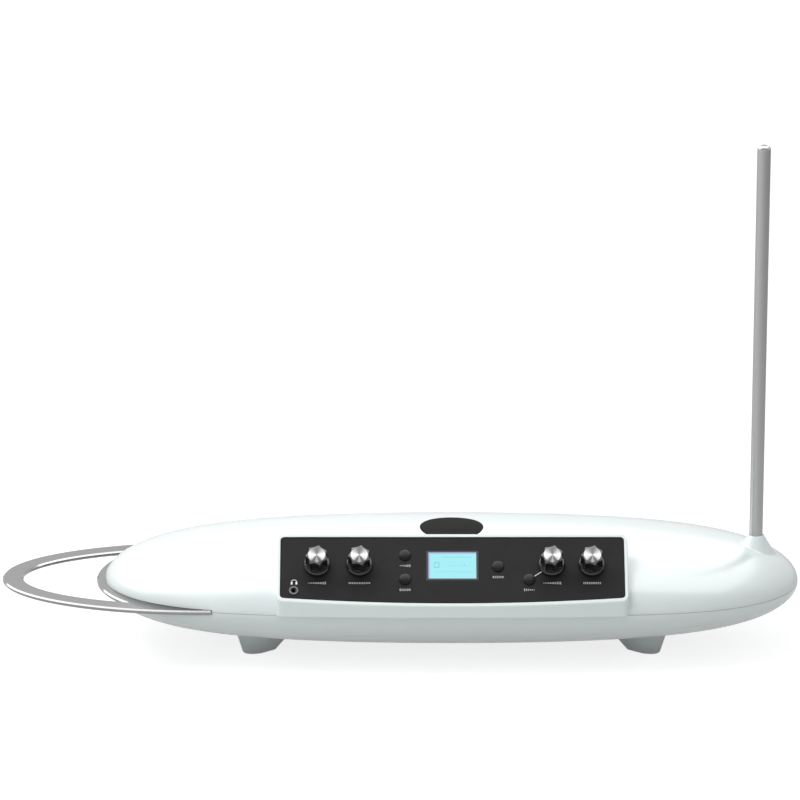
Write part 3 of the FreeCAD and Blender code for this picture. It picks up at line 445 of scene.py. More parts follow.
# ---------------------------------------------------------------- mesh tools
class Maker:
    """Turns points and faces into objects and finishes their meshes."""

    @staticmethod
    def link(name: str, data: bpy.types.ID | None) -> bpy.types.Object:
        """Makes an object of some data and puts it in the scene."""
        made = bpy.data.objects.new(name, data)
        bpy.context.scene.collection.objects.link(made)
        return made

    @staticmethod
    @contextmanager
    def opened(target: bpy.types.Object) -> Iterator[bmesh.types.BMesh]:
        """Opens an object's mesh for editing and writes it back.

        Args:
            target: object to edit.

        Yields:
            The mesh being edited.
        """
        work = bmesh.new()
        work.from_mesh(target.data)
        yield work
        work.to_mesh(target.data)
        work.free()

    @staticmethod
    def mesh(name: str, points: list, faces: list) -> bpy.types.Object:
        """Makes an object from points and faces.

        Args:
            name: name of the piece.
            points: positions in metres.
            faces: lists of point numbers.

        Returns:
            The object, linked to the scene.
        """
        data = bpy.data.meshes.new(name)
        data.from_pydata([tuple(p) for p in points], [], faces)
        data.validate()
        return Maker.link(name, data)

    @staticmethod
    def rings(name: str, loops: list, caps: bool = True) -> bpy.types.Object:
        """Skins a stack of closed loops with the same number of points.

        Args:
            name: name of the piece.
            loops: lists of points, bottom loop first, counter-clockwise from above.
            caps: close the first and last loop; otherwise they are joined to each other.

        Returns:
            The object.
        """
        count = len(loops[0])
        points = [p for loop in loops for p in loop]
        faces = []
        for i in range(len(loops) - 1):
            for j in range(count):
                k = (j + 1) % count
                faces.append([i * count + j, i * count + k, (i + 1) * count + k,
                              (i + 1) * count + j])
        if caps:
            faces.append(list(range(count))[::-1])
            faces.append([(len(loops) - 1) * count + j for j in range(count)])
            return Maker.mesh(name, points, faces)
        made = Maker.mesh(name, points, faces)
        last = (len(loops) - 1) * count
        with Maker.opened(made) as work:
            work.verts.ensure_lookup_table()
            for i in range(count):
                k = (i + 1) % count
                work.faces.new([work.verts[j] for j in (last + i, last + k, k, i)])
            bmesh.ops.recalc_face_normals(work, faces=work.faces)
        return made

    @staticmethod
    def prism(name: str, plan: list, levels: tuple,
              place: Matrix | None = None) -> bpy.types.Object:
        """Raises a flat outline from one level to another.

        Args:
            name: name of the piece.
            plan: (x, y) pairs, counter-clockwise.
            levels: lower and upper level.
            place: where the local axes go.

        Returns:
            The object.
        """
        at = Matrix.Identity(4) if place is None else place
        return Maker.rings(name, [[at @ Vector((x, y, level)) for x, y in plan]
                                  for level in levels])

    @staticmethod
    def lathe(name: str, profile: list, place: Matrix, steps: int = 64) -> bpy.types.Object:
        """Turns a profile about the local Z axis and puts it in place.

        Args:
            name: name of the piece.
            profile: (radius, height) pairs in metres, from the bottom outwards and up.
            place: where the local axes go.
            steps: points round each ring.

        Returns:
            The object.
        """
        points, rows = [], []
        for radius, height in profile:
            if radius < NOTHING:
                rows.append([len(points)])
                points.append(place @ Vector((0, 0, height)))
                continue
            rows.append(list(range(len(points), len(points) + steps)))
            points += [place @ around(radius, angle, height) for angle in turns(steps)]
        faces = []
        for low, high in zip(rows, rows[1:]):
            for i in range(steps):
                k = (i + 1) % steps
                corners = [low[i % len(low)], low[k % len(low)],
                           high[k % len(high)], high[i % len(high)]]
                faces.append(list(dict.fromkeys(corners)))
        if len(rows[0]) > 1 and len(rows[-1]) > 1:
            for i in range(steps):
                k = (i + 1) % steps
                faces.append([rows[-1][i], rows[-1][k], rows[0][k], rows[0][i]])
        return Maker.mesh(name, points, faces)

    @staticmethod
    def boolean(target: bpy.types.Object, tool: bpy.types.Object, operation: str) -> None:
        """Joins or cuts a closed mesh with another, which is used up.

        Args:
            target: mesh that is changed.
            tool: closed mesh.
            operation: UNION, DIFFERENCE or INTERSECT.
        """
        step = target.modifiers.new("carve", "BOOLEAN")
        step.operation = operation
        step.solver = "EXACT"
        step.object = tool
        Maker.bake(target)
        bpy.data.objects.remove(tool)

    @staticmethod
    def bake(target: bpy.types.Object) -> None:
        """Applies every modifier of an object to its mesh."""
        graph = bpy.context.evaluated_depsgraph_get()
        evaluated = target.evaluated_get(graph)
        data = bpy.data.meshes.new_from_object(evaluated, preserve_all_data_layers=True,
                                               depsgraph=graph)
        target.modifiers.clear()
        old = target.data
        data.name = old.name
        target.data = data
        bpy.data.meshes.remove(old)

    @staticmethod
    def outward(target: bpy.types.Object, merge: float = NOTHING) -> None:
        """Merges doubles and turns every face outwards."""
        with Maker.opened(target) as work:
            bmesh.ops.remove_doubles(work, verts=work.verts, dist=merge)
            bmesh.ops.recalc_face_normals(work, faces=work.faces)

    @staticmethod
    def smooth(target: bpy.types.Object, degrees: float) -> None:
        """Shades smooth across every edge flatter than an angle."""
        target.data.shade_smooth()
        target.data.set_sharp_from_angle(angle=math.radians(degrees))

    @staticmethod
    def weigh(target: bpy.types.Object) -> None:
        """Turns the normals at each edge towards the larger face."""
        step = target.modifiers.new("weigh", "WEIGHTED_NORMAL")
        step.keep_sharp = True
        Maker.bake(target)

    @staticmethod
    def bevel(target: bpy.types.Object, width: float, degrees: float = 40.0) -> None:
        """Rounds the edges sharper than an angle and keeps flat faces flat.

        Args:
            target: object to change.
            width: width of the rounding in metres.
            degrees: least angle of the edges that are rounded.
        """
        step = target.modifiers.new("round", "BEVEL")
        step.width = width
        step.segments = 2
        step.limit_method = "ANGLE"
        step.angle_limit = math.radians(degrees)
        step.harden_normals = False
        Maker.bake(target)

    @staticmethod
    def join(first: bpy.types.Object, others: list) -> bpy.types.Object:
        """Puts the meshes of several objects into the first one."""
        with Maker.opened(first) as work:
            for other in others:
                work.from_mesh(other.data)
                bpy.data.objects.remove(other)
        return first

    @staticmethod
    def dress(target: bpy.types.Object, material: bpy.types.Material) -> None:
        """Gives a piece one material."""
        target.data.materials.clear()
        target.data.materials.append(material)

    @staticmethod
    def finished(made: bpy.types.Object, material: bpy.types.Material,
                 degrees: float = 35.0) -> bpy.types.Object:
        """Shades a piece smooth below an angle, gives it its material and returns it."""
        Maker.smooth(made, degrees)
        Maker.dress(made, material)
        return made


def around(radius: float, angle: float, height: float = 0.0) -> Vector:
    """Point at a radius, an angle and a height about the Z axis."""
    return Vector((radius * math.cos(angle), radius * math.sin(angle), height))


def turns(steps: int) -> list[float]:
    """Angles of a full turn in equal steps."""
    return [2 * math.pi * i / steps for i in range(steps)]


def rounded_outline(corners: list, radii: list, steps: int = 8) -> list:
    """Rounds the corners of a flat outline.

    Args:
        corners: (x, y) pairs, counter-clockwise.
        radii: radius at each corner, 0 to keep it.
        steps: faces on each rounding.

    Returns:
        (x, y) pairs.
    """
    outline = []
    for i, corner in enumerate(corners):
        here = Vector(corner)
        if radii[i] <= 0:
            outline.append((here.x, here.y))
            continue
        back = (Vector(corners[i - 1]) - here).normalized()
        ahead = (Vector(corners[(i + 1) % len(corners)]) - here).normalized()
        half = back.angle(ahead) / 2
        middle = here + (back + ahead).normalized() * (radii[i] / math.sin(half))
        start = here + back * (radii[i] / math.tan(half)) - middle
        end = here + ahead * (radii[i] / math.tan(half)) - middle
        sweep = start.angle_signed(end)
        for k in range(steps + 1):
            turned = start.copy()
            turned.rotate(Matrix.Rotation(-sweep * k / steps, 2))
            outline.append((middle.x + turned.x, middle.y + turned.y))
    return outline


# ---------------------------------------------------------------- geometry nodes
class Tree:
    """A geometry node tree with named inputs."""

    def __init__(self, name: str) -> None:
        """Starts an empty tree.

        Args:
            name: name of the tree.
        """
        self.group = bpy.data.node_groups.new(name, "GeometryNodeTree")
        self.group.interface.new_socket("Geometry", in_out="OUTPUT",
                                        socket_type="NodeSocketGeometry")
        self.graph = Graph(self.group)
        self.entry = self.group.nodes.new("NodeGroupInput")
        self.exit = self.group.nodes.new("NodeGroupOutput")
        self.values: dict[str, object] = {}

    def value(self, name: str, kind: str, value: object) -> None:
        """Adds a named input with the value that this object uses.

        Args:
            name: plain name of the size.
            kind: Float, Int or Material.
            value: what the modifier gets.
        """
        socket = self.group.interface.new_socket(name, in_out="INPUT",
                                                 socket_type=f"NodeSocket{kind}")
        self.values[socket.identifier] = value

    def __getitem__(self, name: str) -> Wire:
        """The wire of a named input."""
        return Wire(self.graph, self.entry.outputs[name])

    def close(self, geometry: Wire, material: bpy.types.Material) -> None:
        """Ends the tree in Realize Instances and Set Material.

        Args:
            geometry: what the tree made.
            material: finish of the result.
        """
        self.value("Finish", "Material", material)
        real = self.graph.out("GeometryNodeRealizeInstances", geometry)
        dressed = self.graph.out("GeometryNodeSetMaterial", Geometry=real,
                                 Material=self["Finish"])
        self.graph.feed(self.exit.inputs[0], dressed)

    def build(self, name: str) -> bpy.types.Object:
        """Runs the tree and keeps its result as a plain mesh.

        Args:
            name: name of the piece.

        Returns:
            The object.
        """
        made = Maker.link(name, bpy.data.meshes.new(name))
        step = made.modifiers.new("tree", "NODES")
        step.node_group = self.group
        for identifier, value in self.values.items():
            step[identifier] = value
        Maker.bake(made)
        return made

    def bars(self, name: str, sizes: tuple, material: bpy.types.Material) -> bpy.types.Object:
        """Lays Count blocks along X, Pitch apart, and keeps them as a plain mesh.

        Args:
            name: name of the piece.
            sizes: widths, lengths and heights of the blocks, as numbers or wires.
            material: finish of the blocks.

        Returns:
            The object.
        """
        graph = self.graph
        step = graph.out("ShaderNodeCombineXYZ", self["Pitch"], 0.0, 0.0)
        line = graph.out("GeometryNodeMeshLine", count_mode="TOTAL", Count=self["Count"],
                         Offset=step)
        copies = graph.out("GeometryNodeInstanceOnPoints", Points=line,
                           Instance=graph.out("GeometryNodeMeshCube", (1, 1, 1)),
                           Scale=graph.out("ShaderNodeCombineXYZ", *sizes))
        self.close(copies, material)
        return self.build(name)


# ---------------------------------------------------------------- the housing's form
@dataclass(frozen=True)
class Hull:
    """Double-curved form that both shells are moulded to."""

    length: float = 0.620
    depth: float = 0.2152
    crown: float = 0.0519
    keel: float = 0.0496
    parting: float = 0.0506
    fullness: float = 4.6
    blend: float = 0.7
    tip_power: float = 6.0
    wall: float = 0.003
    stations: int = 150
    turns: int = 56
    groove: float = 0.0003
    groove_depth: float = 0.0009
    past: float = 0.002
    skirt: float = 0.004
    flat_area: float = 0.0001
    skin_reach: float = 0.0003
    least_facing: float = 0.9

    def half_depth(self, x: float) -> float:
        """Half depth at the parting plane."""
        share = min(1.0, abs(x) / (self.length / 2))
        return self.depth / 2 * math.sqrt(1 - share**self.fullness)

    def rise(self, x: float, height: float) -> float:
        """Height of the outline seen from the front."""
        share = min(1.0, abs(x) / (self.length / 2))
        fall = self.blend * share**2 + (1 - self.blend) * share**self.tip_power
        return height * math.sqrt(max(0.0, 1 - fall))

    def skin(self, x: float, y: float, height: float) -> float:
        """Height of the outer skin above the origin at a point; a negative height is the keel."""
        across = min(1.0, abs(y) / max(LEAST, self.half_depth(x)))
        return self.parting + self.rise(x, height) * math.sqrt(1 - across**2)

    def gradient(self, points: np.ndarray, height: float, inset: float) -> tuple:
        """Distance and outward direction at points near one skin.

        Args:
            points: n by 3 positions.
            height: crown height, or minus the keel depth.
            inset: distance of this skin inside the outer one.

        Returns:
            Distances in metres and n by 3 unit directions.
        """
        half = self.length / 2 - inset
        across = self.depth / 2 - inset
        tall = abs(height) - inset
        x, y, z = points[:, 0], points[:, 1], points[:, 2] - self.parting
        share = np.clip(np.abs(x) / half, TINY, 1 - TINY)
        wide = across**2 * (1 - share**self.fullness)
        high = tall**2 * (1 - self.blend * share**2 - (1 - self.blend) * share**self.tip_power)
        wide, high = np.maximum(wide, LEAST), np.maximum(high, LEAST)
        sign = np.sign(x)
        wide_fall = -across**2 * self.fullness * share ** (self.fullness - 1) / half * sign
        high_fall = -tall**2 * (2 * self.blend * share + self.tip_power * (1 - self.blend)
                                * share ** (self.tip_power - 1)) / half * sign
        value = y**2 / wide + z**2 / high - 1
        slope = np.stack([-(y**2) * wide_fall / wide**2 - z**2 * high_fall / high**2,
                          2 * y / wide, 2 * z / high], axis=1)
        size = np.linalg.norm(slope, axis=1) + LEAST
        return value / size, slope / size[:, None]

    def tree(self, name: str, height: float, inset: float,
             skirt: float) -> tuple[Tree, Wire]:
        """Geometry nodes that lay a grid on one half of the form.

        Args:
            name: name of the tree.
            height: crown height, or minus the keel depth.
            inset: distance inside the outer skin.
            skirt: how far the edge drops past the parting plane.

        Returns:
            The tree, not yet closed with a finish, and the wire of its mesh.
        """
        tree = Tree(name)
        graph = tree.graph
        for label, value in (("Half Length", self.length / 2 - inset),
                             ("Half Depth", self.depth / 2 - inset),
                             ("Height", math.copysign(abs(height) - inset, height)),
                             ("Parting", self.parting), ("Fullness", self.fullness),
                             ("Blend", self.blend), ("Tip Power", self.tip_power),
                             ("Skirt", -math.copysign(skirt, height))):
            tree.value(label, "Float", value)
        tree.value("Stations", "Int", self.stations)
        tree.value("Turns", "Int", self.turns)
        grid = graph.out("GeometryNodeMeshGrid", math.pi, math.pi, tree["Stations"],
                         tree["Turns"])
        along, round_, _ = graph.parts(graph.out("GeometryNodeInputPosition"))
        share = graph.math("SINE", along)
        turn = round_ + math.pi / 2
        size = abs(share)
        wide = graph.math("SQRT", 1.0 - size ** tree["Fullness"]) * tree["Half Depth"]
        slow = tree["Blend"] * size**2.0
        quick = (1.0 - tree["Blend"]) * size ** tree["Tip Power"]
        left = graph.math("MAXIMUM", 1.0 - (slow + quick), 0.0)
        high = graph.math("SQRT", left) * tree["Height"]
        lift = tree["Parting"] + high * graph.math("SINE", turn)
        place = graph.out("ShaderNodeCombineXYZ", share * tree["Half Length"],
                          wide * graph.math("COSINE", turn), lift)
        laid = graph.out("GeometryNodeSetPosition", Geometry=grid, Position=place)
        merged = graph.out("GeometryNodeMergeByDistance", Geometry=laid, Distance=TINY)
        sides = graph.out("GeometryNodeInputMeshEdgeNeighbors")
        edge = graph.out("FunctionNodeCompare", sides, 1, data_type="INT", operation="EQUAL")
        drop = graph.out("ShaderNodeCombineXYZ", 0.0, 0.0, tree["Skirt"])
        return tree, graph.out("GeometryNodeExtrudeMesh", mode="EDGES", Mesh=merged,
                               Selection=edge, Offset=drop, Offset_Scale=1.0)

    def solid(self, name: str, height: float, material: bpy.types.Material,
              inset: float = 0.0, skirt: float = 0.0) -> bpy.types.Object:
        """Closed half of the form.

        Args:
            name: name of the piece.
            height: crown height, or minus the keel depth.
            material: finish that the tree sets.
            inset: distance inside the outer skin.
            skirt: how far the closed edge reaches past the parting plane.

        Returns:
            The object.
        """
        tree, skin = self.tree(name, height, inset, skirt)
        tree.close(skin, material)
        made = tree.build(name)
        with Maker.opened(made) as work:
            bmesh.ops.remove_doubles(work, verts=work.verts, dist=TINY)
            bmesh.ops.dissolve_degenerate(work, edges=work.edges, dist=NOTHING)
            bmesh.ops.holes_fill(work, edges=work.edges)
            bmesh.ops.recalc_face_normals(work, faces=work.faces)
        return made

    def parting_ring(self, height: float, material: bpy.types.Material) -> bpy.types.Object:
        """Cutter for the fine groove between the shells.

        Args:
            height: crown height, or minus the keel depth.
            material: finish of the cut faces.

        Returns:
            The object.
        """
        side = math.copysign(1.0, height)
        levels = sorted((self.parting - side * self.past, self.parting + side * self.groove))
        reach = self.length
        base = [(-reach, -reach), (reach, -reach), (reach, reach), (-reach, reach)]
        ring = Maker.prism("ring", base, levels)
        core = self.solid("core", height, material, self.groove_depth, self.skirt)
        Maker.boolean(ring, core, "DIFFERENCE")
        return ring

    def shade(self, target: bpy.types.Object, height: float) -> None:
        """Gives faces on both skins of the form its own normals, and the rest rounded ones.

        Args:
            target: finished shell.
            height: crown height, or minus the keel depth.
        """
        Maker.weigh(target)
        data = target.data
        points = np.zeros(len(data.vertices) * 3)
        data.vertices.foreach_get("co", points)
        points = points.reshape(-1, 3)
        normals = np.zeros(len(data.loops) * 3)
        data.corner_normals.foreach_get("vector", normals)
        normals = normals.reshape(-1, 3)
        for face in data.polygons:
            if face.area > self.flat_area:
                normals[face.loop_start:face.loop_start + face.loop_total] = face.normal
        corner_point = np.zeros(len(data.loops), int)
        data.loops.foreach_get("vertex_index", corner_point)
        for inset in (0.0, self.wall):
            away, outward = self.gradient(points, height, inset)
            near = np.abs(away) < self.skin_reach
            for face in data.polygons:
                corners = np.arange(face.loop_start, face.loop_start + face.loop_total)
                spots = corner_point[corners]
                if not near[spots].all():
                    continue
                directions = outward[spots]
                facing = directions.mean(0) @ np.array(face.normal)
                if abs(facing) > self.least_facing:
                    normals[corners] = directions * math.copysign(1, facing)
        data.normals_split_custom_set(normals.tolist())


@dataclass(frozen=True)
class Slope:
    """Axes of the sloping panel: across, up the slope, and out of it."""

    front: float = -0.1132
    level: float = 0.0613
    tilt: float = PANEL_TILT

    def matrix(self, across: float = 0.0, up: float = 0.0, out: float = 0.0,
               turn: float = 0.0) -> Matrix:
        """Place of a piece on the panel.

        Args:
            across: distance to the right of the panel's middle.
            up: distance up the slope.
            out: distance out of the sloping face.
            turn: turn about the outward axis in degrees.

        Returns:
            The matrix.
        """
        foot = Matrix.Translation((0, self.front, self.level))
        base = foot @ Matrix.Rotation(self.tilt, 4, "X")
        spin = Matrix.Rotation(math.radians(turn), 4, "Z")
        return base @ Matrix.Translation((across, up, out)) @ spin


@dataclass(frozen=True)
class Wedge:
    """Raised bezel that carries the panel."""

    width: float = 0.308
    front: float = -0.1132
    run: float = 0.0505
    sill: float = 0.0107
    bow: float = 0.0039
    corner: float = 0.005
    rim: float = 0.003
    sink: float = 0.0008
    plate: float = 0.002
    ledge: float = 0.003
    ledge_thick: float = 0.0022
    rounding: float = 0.0008
    bow_steps: int = 40
    over: float = 0.004
    under: float = 0.0003
    seat_corner: float = 0.0035
    ledge_corner: float = 0.0025
    least_facing: float = 0.99

    def outline(self, inset: float, low: float, high: float, bow: float, radius: float) -> list:
        """Flat outline with a bowed front.

        Args:
            inset: distance inside the outer outline.
            low: front coordinate at the middle.
            high: back coordinate.
            bow: how far the front bows out.
            radius: radius of the corners.

        Returns:
            (x, y) pairs, counter-clockwise.
        """
        half = self.width / 2 - inset
        bend = (half**2 + bow**2) / (2 * bow)
        reach = math.asin(half / bend)
        steps = self.bow_steps
        front = [(bend * math.sin(a), low + inset + bend * (1 - math.cos(a)))
                 for a in (reach * (2 * i / steps - 1) for i in range(steps + 1))]
        corners = front + [(half, high - inset), (-half, high - inset)]
        radii = [radius] + [0.0] * (steps - 1) + [radius] * 3
        return rounded_outline(corners, radii)

    def block(self, hull: Hull) -> bpy.types.Object:
        """Closed wedge with rounded rim edges."""
        plan = self.outline(0, self.front, self.front + self.run, self.bow, self.corner)
        base = [Vector((x, y, hull.parting)) for x, y in plan]
        top = [Vector((x, y, hull.parting + self.sill + y - self.front)) for x, y in plan]
        made = Maker.rings("wedge", [base, top])
        slope = Vector((0, -1, 1)).normalized()
        with Maker.opened(made) as work:
            edges = [e for e in work.edges
                     if any(f.normal.dot(slope) > self.least_facing for f in e.link_faces)]
            bmesh.ops.bevel(work, geom=edges, offset=self.rounding, segments=4, profile=0.5,
                            affect="EDGES", clamp_overlap=True)
        return made

    def hollow(self, hull: Hull) -> bpy.types.Object:
        """Space under the ledge, inside the bezel's walls."""
        wall = hull.wall
        plan = self.outline(wall, self.front, self.front + self.run, self.bow, self.corner / 2)
        sunk = (self.sink + self.plate + self.ledge_thick) * math.sqrt(2)
        base = [Vector((x, y, hull.parting + wall)) for x, y in plan]
        top = [Vector((x, y, hull.parting + self.sill + y - self.front - sunk)) for x, y in plan]
        return Maker.rings("wedge_hollow", [base, top])

    def recess(self, slope: Slope, inset: float, low: float, radius: float) -> bpy.types.Object:
        """Cutter with the sloping face's outline.

        Args:
            slope: panel axes.
            inset: distance inside the outline of the face.
            low: lower level, measured out of the face.
            radius: radius of its corners.

        Returns:
            The object.
        """
        stretch = 1 / math.cos(slope.tilt)
        plan = self.outline(inset, 0.0, self.run * stretch, self.bow * stretch, radius)
        return Maker.prism("recess", plan, (low, self.over), slope.matrix())


# ---------------------------------------------------------------- antennas
@dataclass
class LoopAntenna:
    """Flat loop with a crescent web and bevelled edges."""

    centre: float = -0.220
    length: float = 0.1815
    depth: float = 0.100
    arm: float = 0.0185
    web_length: float = 0.097
    web_depth: float = 0.103
    web_width: float = 0.030
    cut: float = -0.211
    thick: float = 0.0042
    chamfer: float = 0.0013
    softening: float = 0.0002
    level: float = 0.0506

    def ellipse(self, along: float, across: float, start: float, end: float, steps: int) -> list:
        """Points on an ellipse about the loop's centre, between two angles."""
        return [(self.centre + along * math.cos(a), across * math.sin(a))
                for a in (start + (end - start) * i / steps for i in range(steps + 1))]

    def outlines(self) -> list:
        """Outline of the plate with the web's inner edge, and outline of the opening.

        Returns:
            Two closed lists of (x, y) pairs.
        """
        inset = self.chamfer
        along, across = self.length - inset, self.depth - inset
        reach = self.cut - inset - self.centre
        limit = math.acos(reach / along)
        outer = self.ellipse(along, across, limit, 2 * math.pi - limit, 200)
        web = self.web_width - inset
        inner_along, inner_across = self.web_length - web, self.web_depth - web
        back = math.acos(reach / inner_along)
        inner = self.ellipse(inner_along, inner_across, 2 * math.pi - back, back, 90)
        grown = self.arm - inset
        hole_along, hole_across = self.length - grown, self.depth - grown
        edge_along, edge_across = self.web_length - inset, self.web_depth - inset
        cross = self.crossing(hole_along, hole_across, edge_along, edge_across)
        first = math.atan2(cross[1] / hole_across, (cross[0] - self.centre) / hole_along)
        second = math.atan2(cross[1] / edge_across, (cross[0] - self.centre) / edge_along)
        hole = self.ellipse(hole_along, hole_across, first, 2 * math.pi - first, 140)
        hole += self.ellipse(edge_along, edge_across, 2 * math.pi - second, second, 90)[1:-1]
        return [outer + inner, hole[::-1]]

    def crossing(self, along: float, across: float, other_along: float,
                 other_across: float) -> tuple[float, float]:
        """Upper point where two ellipses about the loop's centre cross."""
        a, b, c, d = along**-2, across**-2, other_along**-2, other_across**-2
        x = -math.sqrt(max(0.0, (d - b) / (a * d - b * c)))
        y = math.sqrt((1 - a * x * x) / b)
        return self.centre + x, y

    def build(self, material: bpy.types.Material) -> bpy.types.Object:
        """Makes the plate from a filled flat curve.

        Args:
            material: satin metal.

        Returns:
            The piece.
        """
        curve = bpy.data.curves.new("loop_plate", "CURVE")
        curve.dimensions = "2D"
        curve.fill_mode = "BOTH"
        curve.extrude = self.thick / 2 - self.chamfer
        curve.bevel_depth = self.chamfer
        curve.bevel_resolution = 0
        for outline in self.outlines():
            spline = curve.splines.new("POLY")
            spline.points.add(len(outline) - 1)
            for point, (x, y) in zip(spline.points, outline):
                point.co = (x, y, 0, 1)
            spline.use_cyclic_u = True
        source = Maker.link("loop_curve", curve)
        graph = bpy.context.evaluated_depsgraph_get()
        data = bpy.data.meshes.new_from_object(source.evaluated_get(graph))
        bpy.data.objects.remove(source)
        made = Maker.link("loop_antenna", data)
        data.transform(Matrix.Translation((0, 0, self.level)))
        Maker.outward(made, TINY)
        Maker.bevel(made, self.softening, 25)
        Maker.smooth(made, 40)
        Maker.weigh(made)
        Maker.dress(made, material)
        return made


@dataclass
class RodAntenna:
    """Upright rod with a domed top that is almost flat in its middle."""

    place: float = 0.272
    radius: float = 0.006
    foot: float = 0.0644
    top: float = 0.4474
    dome: float = 0.0036
    flat: float = 0.0028
    edge: float = 0.0005
    rows: int = 8
    dome_steps: int = 12

    def build(self, material: bpy.types.Material) -> bpy.types.Object:
        """Makes the rod.

        Args:
            material: satin metal.

        Returns:
            The piece.
        """
        low = self.foot + self.edge
        straight = self.top - self.dome - self.foot - self.edge
        profile = [(0.0, self.foot), (self.radius - self.edge, self.foot)]
        profile += [(self.radius, low + straight * i / self.rows) for i in range(self.rows)]
        for angle in (math.pi / 2 * i / self.dome_steps for i in range(self.dome_steps + 1)):
            profile.append((self.flat + (self.radius - self.flat) * math.cos(angle),
                            self.top - self.dome + self.dome * math.sin(angle)))
        profile.append((0.0, self.top))
        made = Maker.lathe("rod_antenna", profile, Matrix.Translation((self.place, 0, 0)), 64)
        Maker.outward(made)
        return Maker.finished(made, material)


# ---------------------------------------------------------------- housing
@dataclass
class Housing:
    """Both shells and what is let into them."""

    hull: Hull = field(default_factory=Hull)
    wedge: Wedge = field(default_factory=Wedge)
    slope: Slope = field(default_factory=Slope)
    loop: LoopAntenna = field(default_factory=LoopAntenna)
    rod: RodAntenna = field(default_factory=RodAntenna)
    boss_top: float = 0.0408
    boss_radius: float = 0.0073
    boss_angle: float = math.radians(30)
    boss_blend: float = 0.0013
    rod_hole: float = 0.0063
    ferrule: float = 0.00825
    slot_clear: float = 0.0003
    cove_half: float = 0.085
    cove_top: float = 0.008
    cove_height: float = 0.026
    cove_face: float = 0.071
    cove_wall: float = 0.0025
    window_inset: float = 0.0045
    window_reach: tuple[float, float] = (0.004, 0.001)
    screws: tuple = ((-0.29295, 0.02206), (-0.29295, -0.02206), (0.24025, 0.04627),
                     (0.24025, -0.04627), (-0.11005, 0.08393), (0.11005, 0.08393),
                     (-0.1302, -0.0538), (0.1302, -0.0538))
    screw_seat: float = 0.010
    screw_post: float = 0.0041
    screw_well: float = 0.0034
    socket: tuple = (0.01105, 0.0151, 0.0025)
    boss_lip: float = 0.0008
    boss_root: float = 0.004
    boss_sink: float = 0.0012
    ferrule_reach: tuple[float, float] = (0.005, 0.045)
    grille_place: float = -0.190
    grille_tilt: float = math.radians(65)
    slot_count: int = 9
    slot_pitch: float = 0.0042
    slot_width: float = 0.0018
    slot_reach: float = 0.021
    slot_depth: float = 0.020
    slot_play: float = 0.00005
    below: float = -0.01
    behind: float = 0.2
    halvings: int = 40
    # faces down the boss: on its lip, its side and its blend
    boss_rows: tuple[int, int, int] = (4, 5, 7)
    lip_share: float = 0.3
    root_share: float = 1.5
    insert_top: float = 0.03

    @staticmethod
    def box(x: tuple, y: tuple, z: tuple) -> bpy.types.Object:
        """Cutter from three (low, high) pairs."""
        return Maker.prism("box", [(x[0], y[0]), (x[1], y[0]), (x[1], y[1]), (x[0], y[1])], z)

    def posts(self, radius: float, low: float, high: float) -> bpy.types.Object:
        """Upright cylinders at the case screws."""
        made = [Maker.lathe("post", [(0, low), (radius, low), (radius, high), (0, high)],
                            Matrix.Translation((x, y, 0)), 32) for x, y in self.screws]
        return Maker.join(made[0], made[1:])

    def loop_slot(self, low: float, high: float) -> bpy.types.Object:
        """Cutter for the room that the loop's plate takes up."""
        loop = self.loop
        reach = loop.cut + self.slot_clear - loop.centre
        along, across = loop.length + self.slot_clear, loop.depth + self.slot_clear
        limit = math.acos(reach / along)
        plan = loop.ellipse(along, across, limit, 2 * math.pi - limit, 96)
        return Maker.prism("slot", plan, (low, high))

    def boss(self) -> bpy.types.Object:
        """Cone round the rod with a soft blend into the crown."""
        rows = [self.boss_section(around(1.0, angle)) for angle in turns(96)]
        LOG.info("boss stands %.1f mm over the parting plane", self.boss_top / MM)
        return Maker.rings("boss", [list(loop) for loop in zip(*rows)], caps=False)

    def boss_section(self, out: Vector) -> list:
        """Outline of the boss in one upright plane through the rod.

        Args:
            out: direction of the plane.

        Returns:
            Points from the bore's foot over the mouth and down to the crown.
        """
        axis = Vector((self.rod.place, 0, 0))
        top, lip = self.hull.parting + self.boss_top, self.boss_lip

        def spot(radius: float, height: float) -> Vector:
            """Point of the plane at a distance from the rod's axis."""
            return axis + out * radius + Vector((0, 0, height))

        def cone(height: float) -> Vector:
            """Point of the cone's side."""
            return spot(self.boss_radius + (top - height) * math.tan(self.boss_angle), height)

        def crown(at: Vector) -> float:
            """Height of the crown under a point."""
            return self.hull.skin(at.x, at.y, self.hull.crown)

        low, high = self.hull.parting, top
        for _ in range(self.halvings):
            middle = (low + high) / 2
            if crown(cone(middle)) > middle:
                low = middle
            else:
                high = middle
        foot = cone(high)
        start = cone(high + self.boss_blend * math.cos(self.boss_angle))
        end = spot((foot - spot(0.0, foot.z)).length + self.boss_blend, 0.0)
        end.z = crown(end)
        points = [spot(self.rod_hole, high - self.boss_root), spot(self.rod_hole, top - lip / 2),
                  spot(self.rod_hole + lip * self.lip_share, top)]
        lips, sides, blends = self.boss_rows
        for i in range(lips + 1):
            angle = math.pi / 2 - (math.pi / 2 - self.boss_angle) * i / lips
            points.append(spot(self.boss_radius - lip + lip * math.cos(angle),
                               top - lip + lip * math.sin(angle)))
        mouth = points[-1]
        points += [mouth.lerp(start, i / sides) for i in range(1, sides + 1)]
        for t in (i / blends for i in range(1, blends + 1)):
            points.append(start * (1 - t) ** 2 + foot * (2 * t * (1 - t)) + end * t**2)
        points.append(end - Vector((0, 0, self.boss_sink)))
        points.append(spot(self.rod_hole, high - self.boss_root * self.root_share))
        return points

